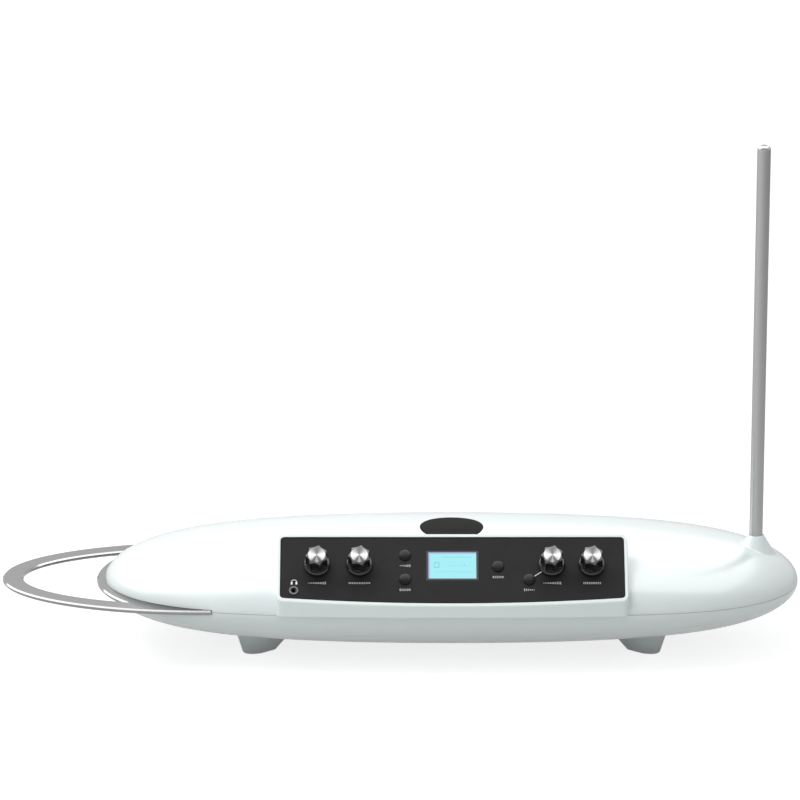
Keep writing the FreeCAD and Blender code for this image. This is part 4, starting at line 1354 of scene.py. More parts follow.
    def grille(self, material: bpy.types.Material) -> bpy.types.Object:
        """Cutter for the slots over the speaker, laid out by geometry nodes."""
        place, tilt, hull = self.grille_place, self.grille_tilt, self.hull
        turned = math.atan(math.tan(tilt) * hull.crown * 2 / hull.depth)
        y = hull.half_depth(place) * math.cos(turned)
        spot = Vector((place, y, hull.skin(place, y, hull.crown)))
        tree = Tree("speaker_slots")
        graph = tree.graph
        tree.value("Count", "Int", self.slot_count)
        for name, value in (("Pitch", self.slot_pitch), ("Width", self.slot_width),
                            ("Reach", self.slot_reach), ("Depth", self.slot_depth)):
            tree.value(name, "Float", value)
        index = graph.out("GeometryNodeInputIndex")
        across = (index - (tree["Count"] - 1.0) / 2.0) * tree["Pitch"]
        length = graph.math("SQRT", tree["Reach"] ** 2.0 - across * across) * 2.0
        made = tree.bars("grille_slots", (tree["Width"], length, tree["Depth"]),
                         material)
        shift = Matrix.Translation((-(self.slot_count - 1) / 2 * self.slot_pitch, 0, 0))
        turn = Matrix.Rotation(tilt - math.pi / 2, 4, "X")
        made.data.transform(Matrix.Translation(spot) @ turn @ shift)
        return made

    def build_top(self, material: bpy.types.Material) -> bpy.types.Object:
        """Upper shell with bezel, rod bore, slots and seats.

        Args:
            material: white moulding.

        Returns:
            The piece.
        """
        hull, wedge, slope = self.hull, self.wedge, self.slope
        shell = hull.solid("housing_top", hull.crown, material)
        Maker.boolean(shell, wedge.block(hull), "UNION")
        seat = wedge.sink + wedge.plate
        floor = seat + wedge.ledge_thick + wedge.under
        low, high = (hull.parting + level for level in self.ferrule_reach)
        bore = [(0, low), (self.ferrule, low), (self.ferrule, high), (0, high)]
        for cutter in (
            lambda: hull.solid("cavity", hull.crown, material, hull.wall, hull.skirt),
            lambda: wedge.hollow(hull),
            lambda: wedge.recess(slope, wedge.rim, -seat, wedge.seat_corner),
            lambda: wedge.recess(slope, wedge.rim + wedge.ledge, -floor, wedge.ledge_corner),
            lambda: self.grille(material),
            lambda: self.loop_slot(hull.parting - hull.past,
                                   hull.parting + self.loop.thick / 2 + self.slot_play),
            lambda: Maker.lathe("bore", bore, Matrix.Translation((self.rod.place, 0, 0)), 48),
            lambda: hull.parting_ring(hull.crown, material),
        ):
            Maker.boolean(shell, cutter(), "DIFFERENCE")
        Maker.smooth(shell, 30)
        hull.shade(shell, hull.crown)
        Maker.dress(shell, material)
        return shell

    def build_boss(self, material: bpy.types.Material) -> bpy.types.Object:
        """Boss as a piece of the upper shell."""
        return Maker.finished(self.boss(), material, 40)

    def build_bottom(self, material: bpy.types.Material) -> bpy.types.Object:
        """Lower shell with its connector recess, screw wells and socket seat.

        Args:
            material: white moulding.

        Returns:
            The piece.
        """
        hull = self.hull
        shell = hull.solid("housing_bottom", -hull.keel, material)
        Maker.boolean(shell, self.bottom_cavity(material), "DIFFERENCE")
        wells = self.posts(self.screw_post, 0.0, hull.parting)
        middle = hull.solid("middle", -hull.keel, material, hull.wall / 2, 0.0)
        Maker.boolean(wells, middle, "INTERSECT")
        Maker.boolean(shell, wells, "UNION")
        hole, flange, thick = self.socket
        insert = [(0, self.below), (flange, self.below), (flange, thick), (hole, thick),
                  (hole, self.insert_top), (0, self.insert_top)]
        for cutter in (
            lambda: self.cove(0.0, self.cove_face, self.behind),
            lambda: self.cove(-self.window_inset, self.cove_face - self.window_reach[0],
                              self.cove_face + self.window_reach[1]),
            lambda: self.posts(self.screw_well, self.below, hull.parting - self.screw_seat),
            lambda: self.loop_slot(hull.parting - self.loop.thick / 2 - self.slot_play,
                                   hull.parting + hull.past),
            lambda: Maker.lathe("insert", insert, Matrix.Identity(4), 48),
            lambda: hull.parting_ring(-hull.keel, material),
        ):
            Maker.boolean(shell, cutter(), "DIFFERENCE")
        Maker.smooth(shell, 30)
        hull.shade(shell, -hull.keel)
        Maker.dress(shell, material)
        return shell

    def bottom_cavity(self, material: bpy.types.Material) -> bpy.types.Object:
        """Inside of the lower shell, with room left for the recess's walls."""
        hull, grown = self.hull, self.cove_wall
        cavity = hull.solid("cavity", -hull.keel, material, hull.wall, hull.skirt)
        walls = self.cove(grown, self.cove_face - grown, self.behind)
        Maker.boolean(cavity, walls, "DIFFERENCE")
        return cavity

    def cove(self, grown: float, front: float, back: float) -> bpy.types.Object:
        """Box with the outline of the connector recess.

        Args:
            grown: how far the outline lies outside the recess's.
            front: nearest distance behind the housing's middle.
            back: farthest distance.

        Returns:
            The cutter.
        """
        half = self.cove_half + grown
        top = self.hull.parting - self.cove_top
        return self.box((-half, half), (front, back),
                        (top - self.cove_height - grown, top + grown))


@dataclass
class Foot:
    """One tapered rubber foot, mirrored into four."""

    corners: tuple = ((0.1574, 0.008), (0.1862, 0.008), (0.1862, 0.0385), (0.1705, 0.0355),
                      (0.1574, 0.0240))
    radii: tuple = (0.004, 0.004, 0.008, 0.012, 0.0025)
    drop: float = 0.009
    root: float = 0.024
    flare: float = 0.0355
    anchor: tuple[float, float] = (0.1794, 0.016)
    edge: float = 0.0008
    edge_rows: int = 4
    corner_steps: int = 10

    def build(self, name: str, mirror: tuple[int, int],
              material: bpy.types.Material) -> bpy.types.Object:
        """Makes one foot.

        Args:
            name: name of the piece.
            mirror: signs along X and Y.
            material: rubber.

        Returns:
            The piece.
        """
        middle = Vector(self.anchor)
        loops = []
        heights = [(0.0, self.edge)]
        heights += [(self.edge * (1 - math.cos(a)), self.edge * (1 - math.sin(a)))
                    for a in (math.pi / 2 * i / self.edge_rows
                              for i in range(1, self.edge_rows + 1))]
        heights.append((self.root, 0.0))
        for height, inset in heights:
            grow = 1 + self.flare * height / MM
            spots = [middle + (Vector(c) - middle) * grow for c in self.corners]
            plan = rounded_outline([(s.x, s.y) for s in spots], [r * grow for r in self.radii],
                                   self.corner_steps)
            centre = Vector((sum(p[0] for p in plan), sum(p[1] for p in plan))) / len(plan)
            loop = []
            for x, y in plan:
                away = Vector((x, y)) - centre
                spot = centre + away * (1 - inset / away.length)
                loop.append(Vector((spot.x * mirror[0], spot.y * mirror[1], height - self.drop)))
            loops.append(loop)
        made = Maker.rings(name, loops)
        Maker.outward(made)
        return Maker.finished(made, material)


@dataclass
class Badge:
    """Plain round disc let into the crown."""

    radius: float = 0.0284
    forward: float = 0.0116
    proud: float = 0.0003
    thick: float = 0.0010
    edge: float = 0.0006
    edge_drop: float = 0.0003
    foot: float = 0.0002
    lap: float = 0.002
    edge_rows: int = 3
    rows: int = 12
    steps: int = 96

    def build(self, hull: Hull, material: bpy.types.Material) -> bpy.types.Object:
        """Lays the disc on the crown.

        Args:
            hull: form of the crown.
            material: dark gloss.

        Returns:
            The piece.
        """
        profile = [(self.lap, -self.thick), (0.0, self.foot - self.thick),
                   (0.0, self.proud - self.edge_drop)]
        edges = self.edge_rows
        profile += [(self.edge * k / edges, self.proud - self.edge_drop * (1 - k / edges) ** 2)
                    for k in range(1, edges + 1)]
        profile += [(self.radius * k / self.rows, self.proud) for k in range(1, self.rows)]
        loops = []
        for inset, lift in profile:
            loop, radius = [], self.radius - inset
            for angle in turns(self.steps):
                x, y = radius * math.cos(angle), -self.forward + radius * math.sin(angle)
                loop.append(Vector((x, y, hull.skin(x, y, hull.crown) + lift)))
            loops.append(loop)
        return Maker.finished(Maker.rings("crown_badge", loops), material)


# ---------------------------------------------------------------- controls
@dataclass
class Knob:
    """Fluted knob with a round skirt, a bevelled star cap and a spun disc."""

    slope: Slope
    across: float
    up: float = 0.0414
    turn: float = 28.5
    lobes: int = 7
    skirt: float = 0.0118
    skirt_height: float = 0.0032
    grip: float = 0.0103
    top: float = 0.0097
    height: float = 0.018
    flute: float = 0.0074
    flute_depth: float = 0.0017
    cap: float = 0.0018
    cap_bevel: float = 0.0010
    disc: float = 0.0075
    hollow: float = 0.0074
    hollow_height: float = 0.0045
    shaft: float = 0.00305
    disc_seat: float = 0.00055
    disc_hole: float = 0.002
    disc_play: float = 0.00005
    disc_proud: float = 0.00025
    disc_thick: float = 0.0008
    disc_edge: tuple[float, float] = (0.00025, 0.0002)
    cap_edge: float = 0.0001
    cap_round: float = 0.00012
    # (radius past the skirt's, height)
    skirt_rows: tuple = ((-0.0003, 0.0), (0.0, 0.0003), (-0.0002, 0.0018), (-0.0006, 0.0023))
    # (radius past the grip's, height over the skirt, inset)
    foot_rows: tuple = ((0.0, 0.00001, -0.0005), (-0.00005, 0.0002, -0.0002),
                        (-0.00008, 0.0006, 0.0))
    fillet: tuple[float, float] = (0.0004, 0.0002)
    grip_shares: tuple = (0.25, 0.5, 0.75, 0.985)
    top_inset: float = 0.0002
    lobe_steps: int = 26
    disc_rows: int = 10
    disc_steps: int = 96

    def place(self) -> Matrix:
        """Place of the knob's underside on the panel."""
        return self.slope.matrix(self.across, self.up, 0.0, self.turn)

    def lobed(self, radius: float, angle: float) -> float:
        """Radius of the fluted outline at an angle from the middle of a lobe."""
        away = self.top - self.flute_depth + self.flute
        step = 2 * math.pi / self.lobes
        off = (angle % step) - step / 2
        reach = away * math.sin(off)
        if abs(reach) >= self.flute:
            return radius
        return min(radius, away * math.cos(off) - math.sqrt(self.flute**2 - reach**2))

    def ring(self, radius: float, height: float, share: float, inset: float = 0.0) -> list:
        """One loop of points.

        Args:
            radius: radius of the lobes.
            height: height above the underside.
            share: 0 for a circle, 1 for the fluted outline.
            inset: distance inside that outline.

        Returns:
            Points in place.
        """
        place, loop = self.place(), []
        for angle in turns(self.lobes * self.lobe_steps):
            reach = radius + (self.lobed(radius, angle) - radius) * share - inset
            loop.append(place @ around(reach, angle, height))
        return loop

    def build_body(self, name: str, material: bpy.types.Material) -> bpy.types.Object:
        """Skirt and fluted grip with the hollow for the nut.

        Args:
            name: name of the piece.
            material: black moulding.

        Returns:
            The piece.
        """
        top, foot, grip = self.height - self.cap, self.skirt_height, self.grip
        rows = [(self.shaft, self.hollow_height), (self.hollow, self.hollow_height),
                (self.hollow, 0.0)]
        rows += [(self.skirt + past, height) for past, height in self.skirt_rows]
        rows += [(grip + self.fillet[0], foot - self.fillet[1]), (grip, foot)]
        fluted = [(grip + past, foot + height, 1.0, inset)
                  for past, height, inset in self.foot_rows]
        fluted += [(grip + (self.top - grip) * share, foot + (top - foot) * share, 1.0)
                   for share in self.grip_shares]
        fluted.append((self.top, top, 1.0, self.top_inset))
        loops = [self.ring(*row, 0) for row in rows] + [self.ring(*row) for row in fluted]
        loops.append(self.ring(self.shaft, top, 0))
        return Maker.finished(Maker.rings(name, loops, caps=False), material, 30)

    def build_cap(self, name: str, material: bpy.types.Material) -> bpy.types.Object:
        """Bevelled star on top of the grip, open in the middle for the disc.

        Args:
            name: name of the piece.
            material: grey moulding.

        Returns:
            The piece.
        """
        low, high = self.height - self.cap, self.height
        seat, bevel, hole = high - self.disc_seat, high - self.cap_bevel, self.disc + self.disc_play
        rows = [(self.top, low, 1.0, self.cap_edge), (self.top, low + self.cap_edge, 1.0),
                (self.top, bevel, 1.0), (self.top, bevel + self.cap_round, 1.0, self.cap_round),
                (self.top - self.cap_bevel, high - self.cap_edge, 1.0),
                (self.disc + self.cap_round, high, 0), (hole, high - self.cap_edge, 0),
                (hole, seat, 0), (self.disc_hole, seat, 0), (self.disc_hole, low, 0)]
        loops = [self.ring(*row) for row in rows]
        return Maker.finished(Maker.rings(name, loops, caps=False), material, 30)

    def build_disc(self, name: str, material: bpy.types.Material) -> bpy.types.Object:
        """Spun disc with a small chamfer.

        Args:
            name: name of the piece.
            material: spun metal.

        Returns:
            The piece.
        """
        high = self.height + self.disc_proud
        low = high - self.disc_thick
        inward, down = self.disc_edge
        profile = [(0, low), (self.disc, low), (self.disc, high - down),
                   (self.disc - inward, high)]
        rows = self.disc_rows
        profile += [(self.disc * k / rows, high) for k in range(rows - 1, 0, -1)] + [(0, high)]
        made = Maker.lathe(name, profile, self.place(), self.disc_steps)
        Maker.outward(made)
        return Maker.finished(made, material)


@dataclass
class Button:
    """Round push button with a soft dome."""

    slope: Slope
    across: float
    up: float
    radius: float = 0.00525
    side: float = 0.0010
    dome: float = 0.0013
    flange: float = 0.0012
    flange_thick: float = 0.001
    sink: float = 0.0008
    under: float = 0.0029
    shoulder: float = 0.0003
    edge: float = 0.0010
    dome_steps: int = 14
    # how full the dome is inside its edge and at it
    fullness: tuple[float, float] = (0.9, 0.6)

    def build(self, name: str, material: bpy.types.Material) -> bpy.types.Object:
        """Makes the button.

        Args:
            name: name of the piece.
            material: black gloss.

        Returns:
            The piece.
        """
        under, wide = -self.under, self.radius + self.flange
        base = self.side - self.sink - self.shoulder
        rise = self.dome + self.shoulder
        profile = [(0, under - self.flange_thick), (wide, under - self.flange_thick),
                   (wide, under), (self.radius, under), (self.radius, base)]
        inner, outer = self.fullness
        for angle in (math.pi / 2 * i / self.dome_steps for i in range(1, self.dome_steps)):
            share = math.cos(angle)
            reach = (self.radius - self.edge) * share**inner + self.edge * share**outer
            profile.append((reach, base + rise * math.sin(angle)))
        profile.append((0.0, base + rise))
        made = Maker.lathe(name, profile, self.slope.matrix(self.across, self.up), 64)
        Maker.outward(made)
        return Maker.finished(made, material)


@dataclass(frozen=True)
class TickRow:
    """Row of upright ticks: its middle, count and pitch, and its first and last height."""

    name: str
    across: float
    up: float
    count: int
    pitch: float
    first: float
    last: float


@dataclass
class Panel:
    """Marks printed on the panel: ticks, a link line and a headphone sign."""

    slope: Slope
    face: float = -0.0008
    ink: float = 0.00004
    root: float = 0.0001
    stroke: float = 0.00045
    tick_thick: float = 0.00014
    tick_sink: float = 0.00003
    link: tuple = ((0.0717, 0.0300), (0.0780, 0.0344))
    link_stroke: float = 0.0006
    sign: tuple[float, float] = (-0.1386, 0.0240)
    sign_radius: float = 0.0024
    sign_stroke: float = 0.0005
    sign_steps: int = 24
    pad: tuple = (0.86, -0.0021, 0.0003, 0.0016)
    rows: tuple = (TickRow("volume_ticks", -0.1186, 0.0233, 11, 0.0015, 0.0005, 0.0026),
                   TickRow("pitch_ticks", -0.0814, 0.0233, 13, 0.0015, 0.0016, 0.0016),
                   TickRow("amount_ticks", 0.0872, 0.0233, 11, 0.0015, 0.0005, 0.0026),
                   TickRow("preset_ticks", 0.1222, 0.0233, 10, 0.0016, 0.0020, 0.0020),
                   TickRow("scale_ticks", -0.0415, 0.0403, 6, 0.0017, 0.0008, 0.0026),
                   TickRow("root_ticks", -0.0415, 0.0167, 6, 0.0017, 0.0022, 0.0022),
                   TickRow("setup_ticks", 0.0400, 0.0292, 6, 0.0017, 0.0022, 0.0022),
                   TickRow("delay_ticks", 0.0672, 0.0167, 6, 0.0017, 0.0026, 0.0008))

    def printed(self, name: str, plan: list, place: Matrix) -> bpy.types.Object:
        """Raises an outline a hair over the panel.

        Args:
            name: name of the piece.
            plan: (x, y) pairs, counter-clockwise.
            place: place of the outline on the panel.

        Returns:
            The object.
        """
        made = Maker.prism(name, plan, (self.face - self.root, self.face + self.ink), place)
        Maker.outward(made)
        return made

    def bar(self, name: str, start: tuple, end: tuple, width: float) -> bpy.types.Object:
        """Straight printed line.

        Args:
            name: name of the piece.
            start: (across, up) of one end.
            end: (across, up) of the other.
            width: width of the line.

        Returns:
            The object.
        """
        first, last = Vector(start), Vector(end)
        side = (last - first).normalized().orthogonal() * width / 2
        plan = [first - side, last - side, last + side, first + side]
        return self.printed(name, plan, self.slope.matrix())

    def ticks(self, row: TickRow, material: bpy.types.Material) -> bpy.types.Object:
        """Row of upright ticks that grow from one end to the other.

        Args:
            row: place and sizes of the row.
            material: white ink.

        Returns:
            The piece.
        """
        tree = Tree(row.name)
        graph = tree.graph
        tree.value("Count", "Int", row.count)
        for label, value in (("Pitch", row.pitch), ("First Height", row.first),
                             ("Last Height", row.last), ("Stroke", self.stroke)):
            tree.value(label, "Float", value)
        index = graph.out("GeometryNodeInputIndex")
        share = index / (tree["Count"] - 1.0)
        first = tree["First Height"]
        tall = graph.math("MULTIPLY_ADD", share, tree["Last Height"] - first, first)
        made = tree.bars(row.name, (tree["Stroke"], tall, self.tick_thick), material)
        shift = Matrix.Translation((-(row.count - 1) * row.pitch / 2, 0, 0))
        place = self.slope.matrix(row.across, row.up, self.face - self.tick_sink)
        made.data.transform(place @ shift)
        return made

    def headphone_sign(self, material: bpy.types.Material) -> bpy.types.Object:
        """Arc with two ear pads.

        Args:
            material: white ink.

        Returns:
            The piece.
        """
        angles = [math.pi * i / self.sign_steps for i in range(self.sign_steps + 1)]
        half = self.sign_stroke / 2
        plan = [around(self.sign_radius + half, a).xy for a in angles]
        plan += [around(self.sign_radius - half, a).xy for a in reversed(angles)]
        made = self.printed("headphone_sign", plan, self.slope.matrix(*self.sign))
        reach, low, high, width = self.pad
        across, up = self.sign
        pads = [self.bar("pad", (middle, up + low), (middle, up + high), width)
                for middle in (across - self.sign_radius * reach,
                               across + self.sign_radius * reach)]
        Maker.join(made, pads)
        Maker.dress(made, material)
        return made

    def build(self, material: bpy.types.Material) -> list:
        """Makes every mark.

        Args:
            material: white ink.

        Returns:
            The pieces.
        """
        made = [self.ticks(row, material) for row in self.rows]
        made.append(self.headphone_sign(material))
        made.append(self.bar("delay_link", *self.link, self.link_stroke))
        Maker.dress(made[-1], material)
        return made


# ---------------------------------------------------------------- finishes of this object
def grey(level: float) -> tuple[float, float, float]:
    """Neutral colour."""
    return (level, level, level)


# spun discs: the colour runs between the light and the dark tone by the painted sheen fans, a
# painted reflection
SPUN_METAL_WITH_PAINTED_SHEEN = Finish("spun", (0.46, 0.462, 0.465), (0.09, 0.091, 0.093), 0.30, 0.02, Wear.SPUN_WITH_PAINTED_SHEEN,
                    metallic=1.0, scale=30000, bump=0.05, depth=0.00002,
                    turn=(PANEL_TILT, 0, 0), anisotropic=0.92)


def finishes() -> dict[str, bpy.types.Material]:
    """Builds every finish by the record's slot name or by its own.

    Returns:
        Materials by name.
    """
    made = [
        Finish("white_gloss", (0.775, 0.845, 0.842), (0.765, 0.838, 0.836), 0.23, 0.02,
               ior=1.6, scale=30, bump=0.04, depth=0.00003),
        Finish("panel_grey", grey(0.013), grey(0.011), 0.50, 0.05,
               Wear.GRAINED, scale=220, bump=0.25, depth=0.00003, specular=0.15),
        Finish("knob_black", grey(0.012), (0.008, 0.008, 0.009), 0.22, 0.05,
               scale=140, bump=0.06, depth=0.00003, coat=0.3),
        Finish("cap_grey", grey(0.13), (0.11, 0.11, 0.112), 0.32, 0.06,
               scale=140, bump=0.08, depth=0.00003, metallic=0.5),
        Finish("steel", (0.55, 0.55, 0.56), (0.45, 0.45, 0.47), 0.3, 0.08, Wear.BRUSHED,
               metallic=1.0, scale=120, bump=0.1, depth=0.00003, stretch=(1, 1, 6)),
        Finish("black_moulding", (0.022, 0.022, 0.023), (0.016, 0.016, 0.017), 0.45, 0.08,
               Wear.GRAINED, scale=160, bump=0.2, depth=0.00004),
        Finish("button_black", grey(0.012), grey(0.009), 0.36, 0.05,
               scale=160, bump=0.06, depth=0.00003, specular=0.22),
        Finish("module_frame", (0.30, 0.75, 0.80), (0.26, 0.70, 0.76), 0.4, 0.05),
        Finish("board_green", (0.015, 0.16, 0.06), (0.01, 0.11, 0.045), 0.35, 0.1, scale=200,
               bump=0.1, depth=0.00005),
        Finish("ring_grey", grey(0.17), grey(0.14), 0.4, 0.06, scale=200),
        Finish("badge_dark", (0.016, 0.016, 0.015), grey(0.010), 0.50, 0.05,
               scale=60, bump=0.04, depth=0.00003, specular=0.01),
        Finish("antenna_metal", grey(0.33), grey(0.31), 0.11, 0.02,
               Wear.BRUSHED, metallic=1.0, scale=60, bump=0.015, depth=0.00002,
               faces=LevelFaces(0.0506, 0.00205, grey(0.10), 0.30)),
        # the very top of the rod's dome is painted darker: painted shade standing in for the dark
        # rim of its reflection
        Finish("rod_metal", grey(0.52), grey(0.49), 0.24, 0.03,
               Wear.BRUSHED, metallic=0.9, scale=60, bump=0.02, depth=0.00002,
               stretch=(1, 1, 0.02), faces=LevelFaces(0.0, 0.44728, grey(0.16), 0.12)),
        Finish("nickel", (0.60, 0.60, 0.58), (0.50, 0.50, 0.48), 0.28, 0.06, Wear.BRUSHED,
               metallic=1.0, scale=100, bump=0.1, depth=0.00003, stretch=(1, 1, 8)),
        Finish("foot_rubber", (0.74, 0.79, 0.79), (0.70, 0.75, 0.75), 0.50, 0.08, Wear.PULP,
               scale=260, bump=0.25, depth=0.00006),
        Finish("speaker_frame", (0.03, 0.03, 0.032), (0.02, 0.02, 0.022), 0.4, 0.08, scale=120),
        Finish("speaker_paper", (0.035, 0.033, 0.03), (0.022, 0.021, 0.02), 0.85, 0.05,
               Wear.PULP, scale=320, bump=0.4, depth=0.0001),
        Finish("panel_ink", grey(0.86), grey(0.78), 0.5, 0.05, scale=400),
    ]
    return {f.name: f.material() for f in made}


# ---------------------------------------------------------------- studio
@dataclass(frozen=True)
class Lamp:
    """Soft rectangular lamp: where it hangs, what it faces, its size and its watts."""

    name: str
    place: tuple[float, float, float]
    aim: tuple[float, float, float]
    size: tuple[float, float]
    power: float
    on_matt: bool = True
    mirrored: bool = True

    def hang(self) -> None:
        """Puts the lamp in the scene, out of the camera's sight."""
        data = bpy.data.lights.new(self.name, "AREA")
        data.shape = "RECTANGLE"
        data.size, data.size_y = self.size
        data.energy = self.power
        lamp = Maker.link(self.name, data)
        lamp.location = self.place
        way = Vector(self.aim) - Vector(self.place)
        lamp.rotation_euler = way.to_track_quat("-Z", "Y").to_euler()
        lamp.visible_diffuse = self.on_matt
        lamp.visible_glossy = self.mirrored
        lamp.visible_camera = False


@dataclass
class Studio:
    """Floor, soft light and camera."""

    floor_level: float = -0.009
    floor_size: float = 12.0
    camera_place: tuple[float, float, float] = (-0.0459, -4.0655, 1.3820)
    camera_pitch: float = math.radians(74)
    lens: float = 214.8
    ambient: float = 0.60
    wall_dim: float = 0.65
    wall_ahead: tuple[float, float] = (0.2, -0.35)
    wall_above: tuple[float, float] = (0.12, 0.30)
    floor_grey: float = 0.60
    floor_faint: float = 0.45
    floor_glow: float = 0.78
    floor_near: float = 0.44
    floor_mirrored: float = 0.25
    floor_fall: float = 0.07
    floor_far: tuple[float, float] = (0.32, 0.60)
    lamps: tuple = (Lamp("key", (-1.1, -0.5, 2.0), (0, 0, 0.05), (1.5, 1.4), 30.5,
                         mirrored=False),
                    Lamp("panel", (-1.35, 1.61, 1.65), (-1.35, 1.61, 0.0), (5.3, 4.52), 212.0,
                         on_matt=False))

    def floor(self) -> None:
        """Pale floor that looks white, keeps soft shadows and is clear from below."""
        size, level = self.floor_size, self.floor_level
        corners = [(-size, -size, level), (size, -size, level), (size, size, level),
                   (-size, size, level)]
        made = Maker.mesh("floor", corners, [[0, 1, 2, 3]])
        material = bpy.data.materials.new("floor_white")
        graph = Graph.of(material)
        diffuse = graph.out("ShaderNodeBsdfDiffuse", (*grey(self.floor_grey), 1))
        faint = graph.out("ShaderNodeBsdfDiffuse", (*grey(self.floor_faint), 1))
        seen, mirrored = graph.seen()
        less = self.floor_in_mirrors(graph) - self.floor_glow
        strength = graph.math("MULTIPLY_ADD", mirrored, less, self.floor_glow)
        glow = graph.out("ShaderNodeEmission", (1, 1, 1, 1), strength)
        added = graph.out("ShaderNodeAddShader", faint, glow)
        plain = graph.out("ShaderNodeMixShader", seen, diffuse, added)
        below = graph.out("ShaderNodeNewGeometry", pick="Backfacing")
        clear = graph.out("ShaderNodeBsdfTransparent")
        both = graph.out("ShaderNodeMixShader", below, plain, clear)
        graph.node("ShaderNodeOutputMaterial", both)
        Maker.dress(made, material)

    def floor_in_mirrors(self, graph: Graph) -> Wire:
        """Glow of the floor in glossy surfaces: even near the origin, falling to the right."""
        spot = graph.out("ShaderNodeTexCoord", pick="Object")
        across = graph.parts(spot)[0]
        falling = graph.math("MULTIPLY_ADD", across, -self.floor_fall, self.floor_mirrored)
        bounded = graph.math("MINIMUM", graph.math("MAXIMUM", falling, 0.0), self.floor_glow)
        far = graph.ramp(graph.vector("LENGTH", spot, pick="Value"), *self.floor_far)
        return graph.math("MULTIPLY_ADD", far, bounded - self.floor_near, self.floor_near)

    def world(self) -> None:
        """White surroundings, brighter to the camera than as light, dim high up in front."""
        world = bpy.data.worlds.new("studio")
        graph = Graph.of(world)
        _, back, up = graph.parts(graph.out("ShaderNodeTexCoord", pick="Generated"))
        dim = graph.ramp(back, *self.wall_ahead) * graph.ramp(up, *self.wall_above)
        shown = dim * -self.wall_dim + (1.0 - self.ambient)
        strength = graph.math("MULTIPLY_ADD", graph.seen()[0], shown, self.ambient)
        light = graph.out("ShaderNodeBackground", (1, 1, 1, 1), strength)
        graph.node("ShaderNodeOutputWorld", light)
        bpy.context.scene.world = world

    def camera(self) -> None:
        """Long lens looking down a little at the front."""
        data = bpy.data.cameras.new("camera")
        data.lens = self.lens
        data.sensor_width = 36.0
        data.clip_end = 100.0
        camera = Maker.link("camera", data)
        camera.location = self.camera_place
        camera.rotation_euler = (self.camera_pitch, 0, 0)
        bpy.context.scene.camera = camera

    def build(self) -> None:
        """Sets up the whole studio."""
        self.floor()
        self.world()
        for lamp in self.lamps:
            lamp.hang()
        self.camera()
        bpy.context.scene.view_settings.view_transform = "Standard"


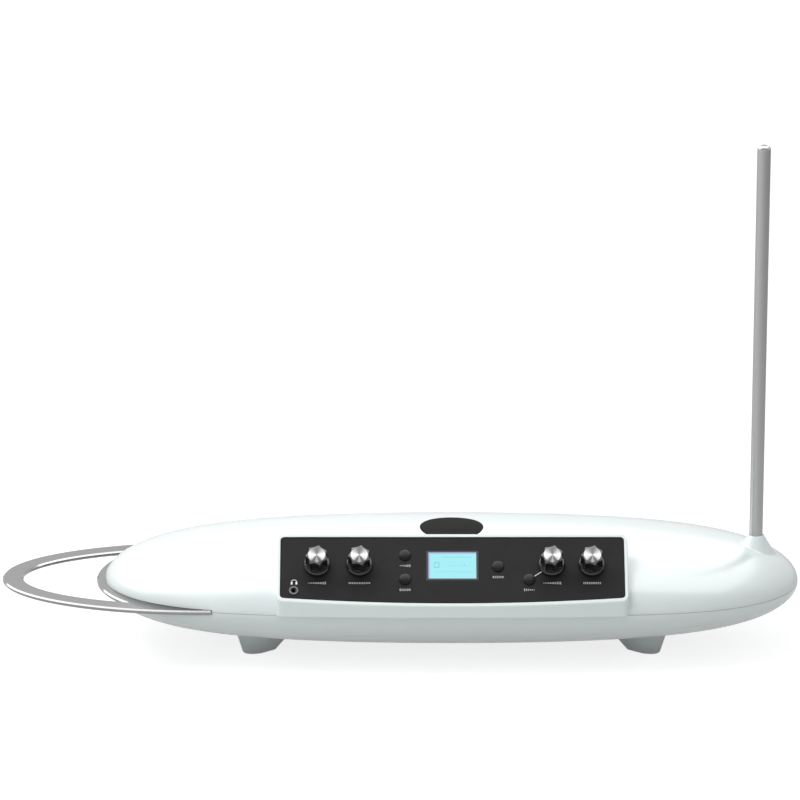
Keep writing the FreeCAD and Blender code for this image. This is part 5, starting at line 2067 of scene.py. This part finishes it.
# ---------------------------------------------------------------- assembly
class Theremin:
    """Builds every piece and sets it on its body."""

    # across the panel, turn about its axis in degrees
    KNOBS = {"volume": (-0.1186, 28.5), "pitch": (-0.0814, 28.5), "amount": (0.0872, 25.7),
             "preset": (0.1222, 25.7)}
    # across and up the panel
    BUTTONS = {"scale": (-0.0415, 0.0505), "root": (-0.0415, 0.0269), "setup": (0.0400, 0.0395),
               "delay": (0.0672, 0.0267)}
    # half width, half height, back and front behind the socket's rear face, rounding
    TONGUE = (0.0028, 0.0016, 0.0088, 0.0012, 0.0003)

    def __init__(self, frame: dict) -> None:
        """Keeps the frame and the finishes.
        """
        self.frame = frame
        self.finish = finishes()
        self.slope = Slope()

    def settle(self, piece: bpy.types.Object, body: str, slot: str, *nodes: str) -> None:
        """Puts a piece on its body in place of its nodes.

        Args:
            piece: finished piece.
            body: body that it moves with.
            slot: material slot of the record; not used.
            nodes: nodes that it stands for.
        """
        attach(piece, body)
        if nodes:
            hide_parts(*nodes)
        LOG.info("%s rides on %s, %d faces", piece.name, body, len(piece.data.polygons))

    def housing(self) -> None:
        """Shells, boss, feet and badge."""
        housing = Housing()
        white = self.finish["white_gloss"]
        self.settle(housing.build_top(white), "housing", "white_gloss", "top_shell")
        self.settle(housing.build_boss(white), "housing", "white_gloss")
        self.settle(housing.build_bottom(white), "housing", "white_gloss", "bottom_shell")
        rubber = self.finish["foot_rubber"]
        for side, x in (("left", -1), ("right", 1)):
            for end, y in (("front", -1), ("rear", 1)):
                name = f"foot_{end}_{side}"
                self.settle(Foot().build(f"rubber_{name}", (x, y), rubber), "housing",
                            "foot_rubber", name)
        badge = Badge().build(housing.hull, self.finish["badge_dark"])
        self.settle(badge, "housing", "badge_dark", "badge")

    def antennas(self) -> None:
        """Loop and rod."""
        loop = LoopAntenna().build(self.finish["antenna_metal"])
        self.settle(loop, "housing", "antenna_metal", "volume_antenna")
        rod = RodAntenna().build(self.finish["rod_metal"])
        self.settle(rod, "rod", "antenna_metal", "pitch_antenna")

    def controls(self) -> None:
        """Knobs, buttons and printed marks."""
        for name, (across, turn) in self.KNOBS.items():
            knob = Knob(self.slope, across, turn=turn)
            body = f"{name}_control"
            self.settle(knob.build_body(f"{name}_grip", self.finish["knob_black"]), body,
                        "knob_black", f"{name}_knob")
            self.settle(knob.build_cap(f"{name}_star", self.finish["cap_grey"]), body,
                        "cap_grey", f"{name}_knob_cap")
            spun = replace(SPUN_METAL_WITH_PAINTED_SHEEN, name=f"spun_{name}",
                           centre=tuple(knob.place().translation)).material()
            self.settle(knob.build_disc(f"{name}_disc_face", spun), body, "spun_aluminium",
                        f"{name}_knob_disc")
        for name, (across, up) in self.BUTTONS.items():
            button = Button(self.slope, across, up)
            self.settle(button.build(f"{name}_push", self.finish["button_black"]), f"{name}_key",
                        "button_black", f"{name}_button")
        for mark in Panel(self.slope).build(self.finish["panel_ink"]):
            self.settle(mark, "housing", "panel_grey")

    def socket_tongue(self) -> None:
        """Contact tongue in the computer socket's opening."""
        low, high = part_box("usb_socket")
        across, level = (low[0] + high[0]) / 2, (low[2] + high[2]) / 2
        half_width, half_height, back, front, edge = self.TONGUE
        tongue = Housing.box((across - half_width, across + half_width),
                             (high[1] - back, high[1] - front),
                             (level - half_height, level + half_height))
        tongue.name = "usb_tongue"
        Maker.bevel(tongue, edge)
        Maker.dress(tongue, self.finish["black_moulding"])
        self.settle(tongue, "housing", "black_moulding")

    def dress_nodes(self) -> None:
        """Gives every shown node its finish."""
        slots = {s["node"]: s["material_slot"] for s in self.frame["record"]["subparts"]}
        low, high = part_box("display_window")
        face = DisplayFinish(centre=tuple((low + high) / 2)).material()
        for name, node in self.frame["nodes"].items():
            if node.hide_render:
                continue
            material = face if name == "display_window" else self.finish.get(slots[name])
            if material is None:
                LOG.warning("%s has no finish for slot %s", name, slots[name])
                continue
            Maker.dress(node, material)

    def build(self) -> None:
        """Builds everything in order."""
        self.housing()
        self.antennas()
        self.controls()
        self.socket_tongue()
        self.dress_nodes()


def main() -> None:
    """Loads the frame, dresses it and lights it."""
    logging.basicConfig(level=logging.INFO, format="%(name)s: %(message)s")
    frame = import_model()
    Theremin(frame).build()
    Studio().build()


if __name__ == "__main__":
    main()
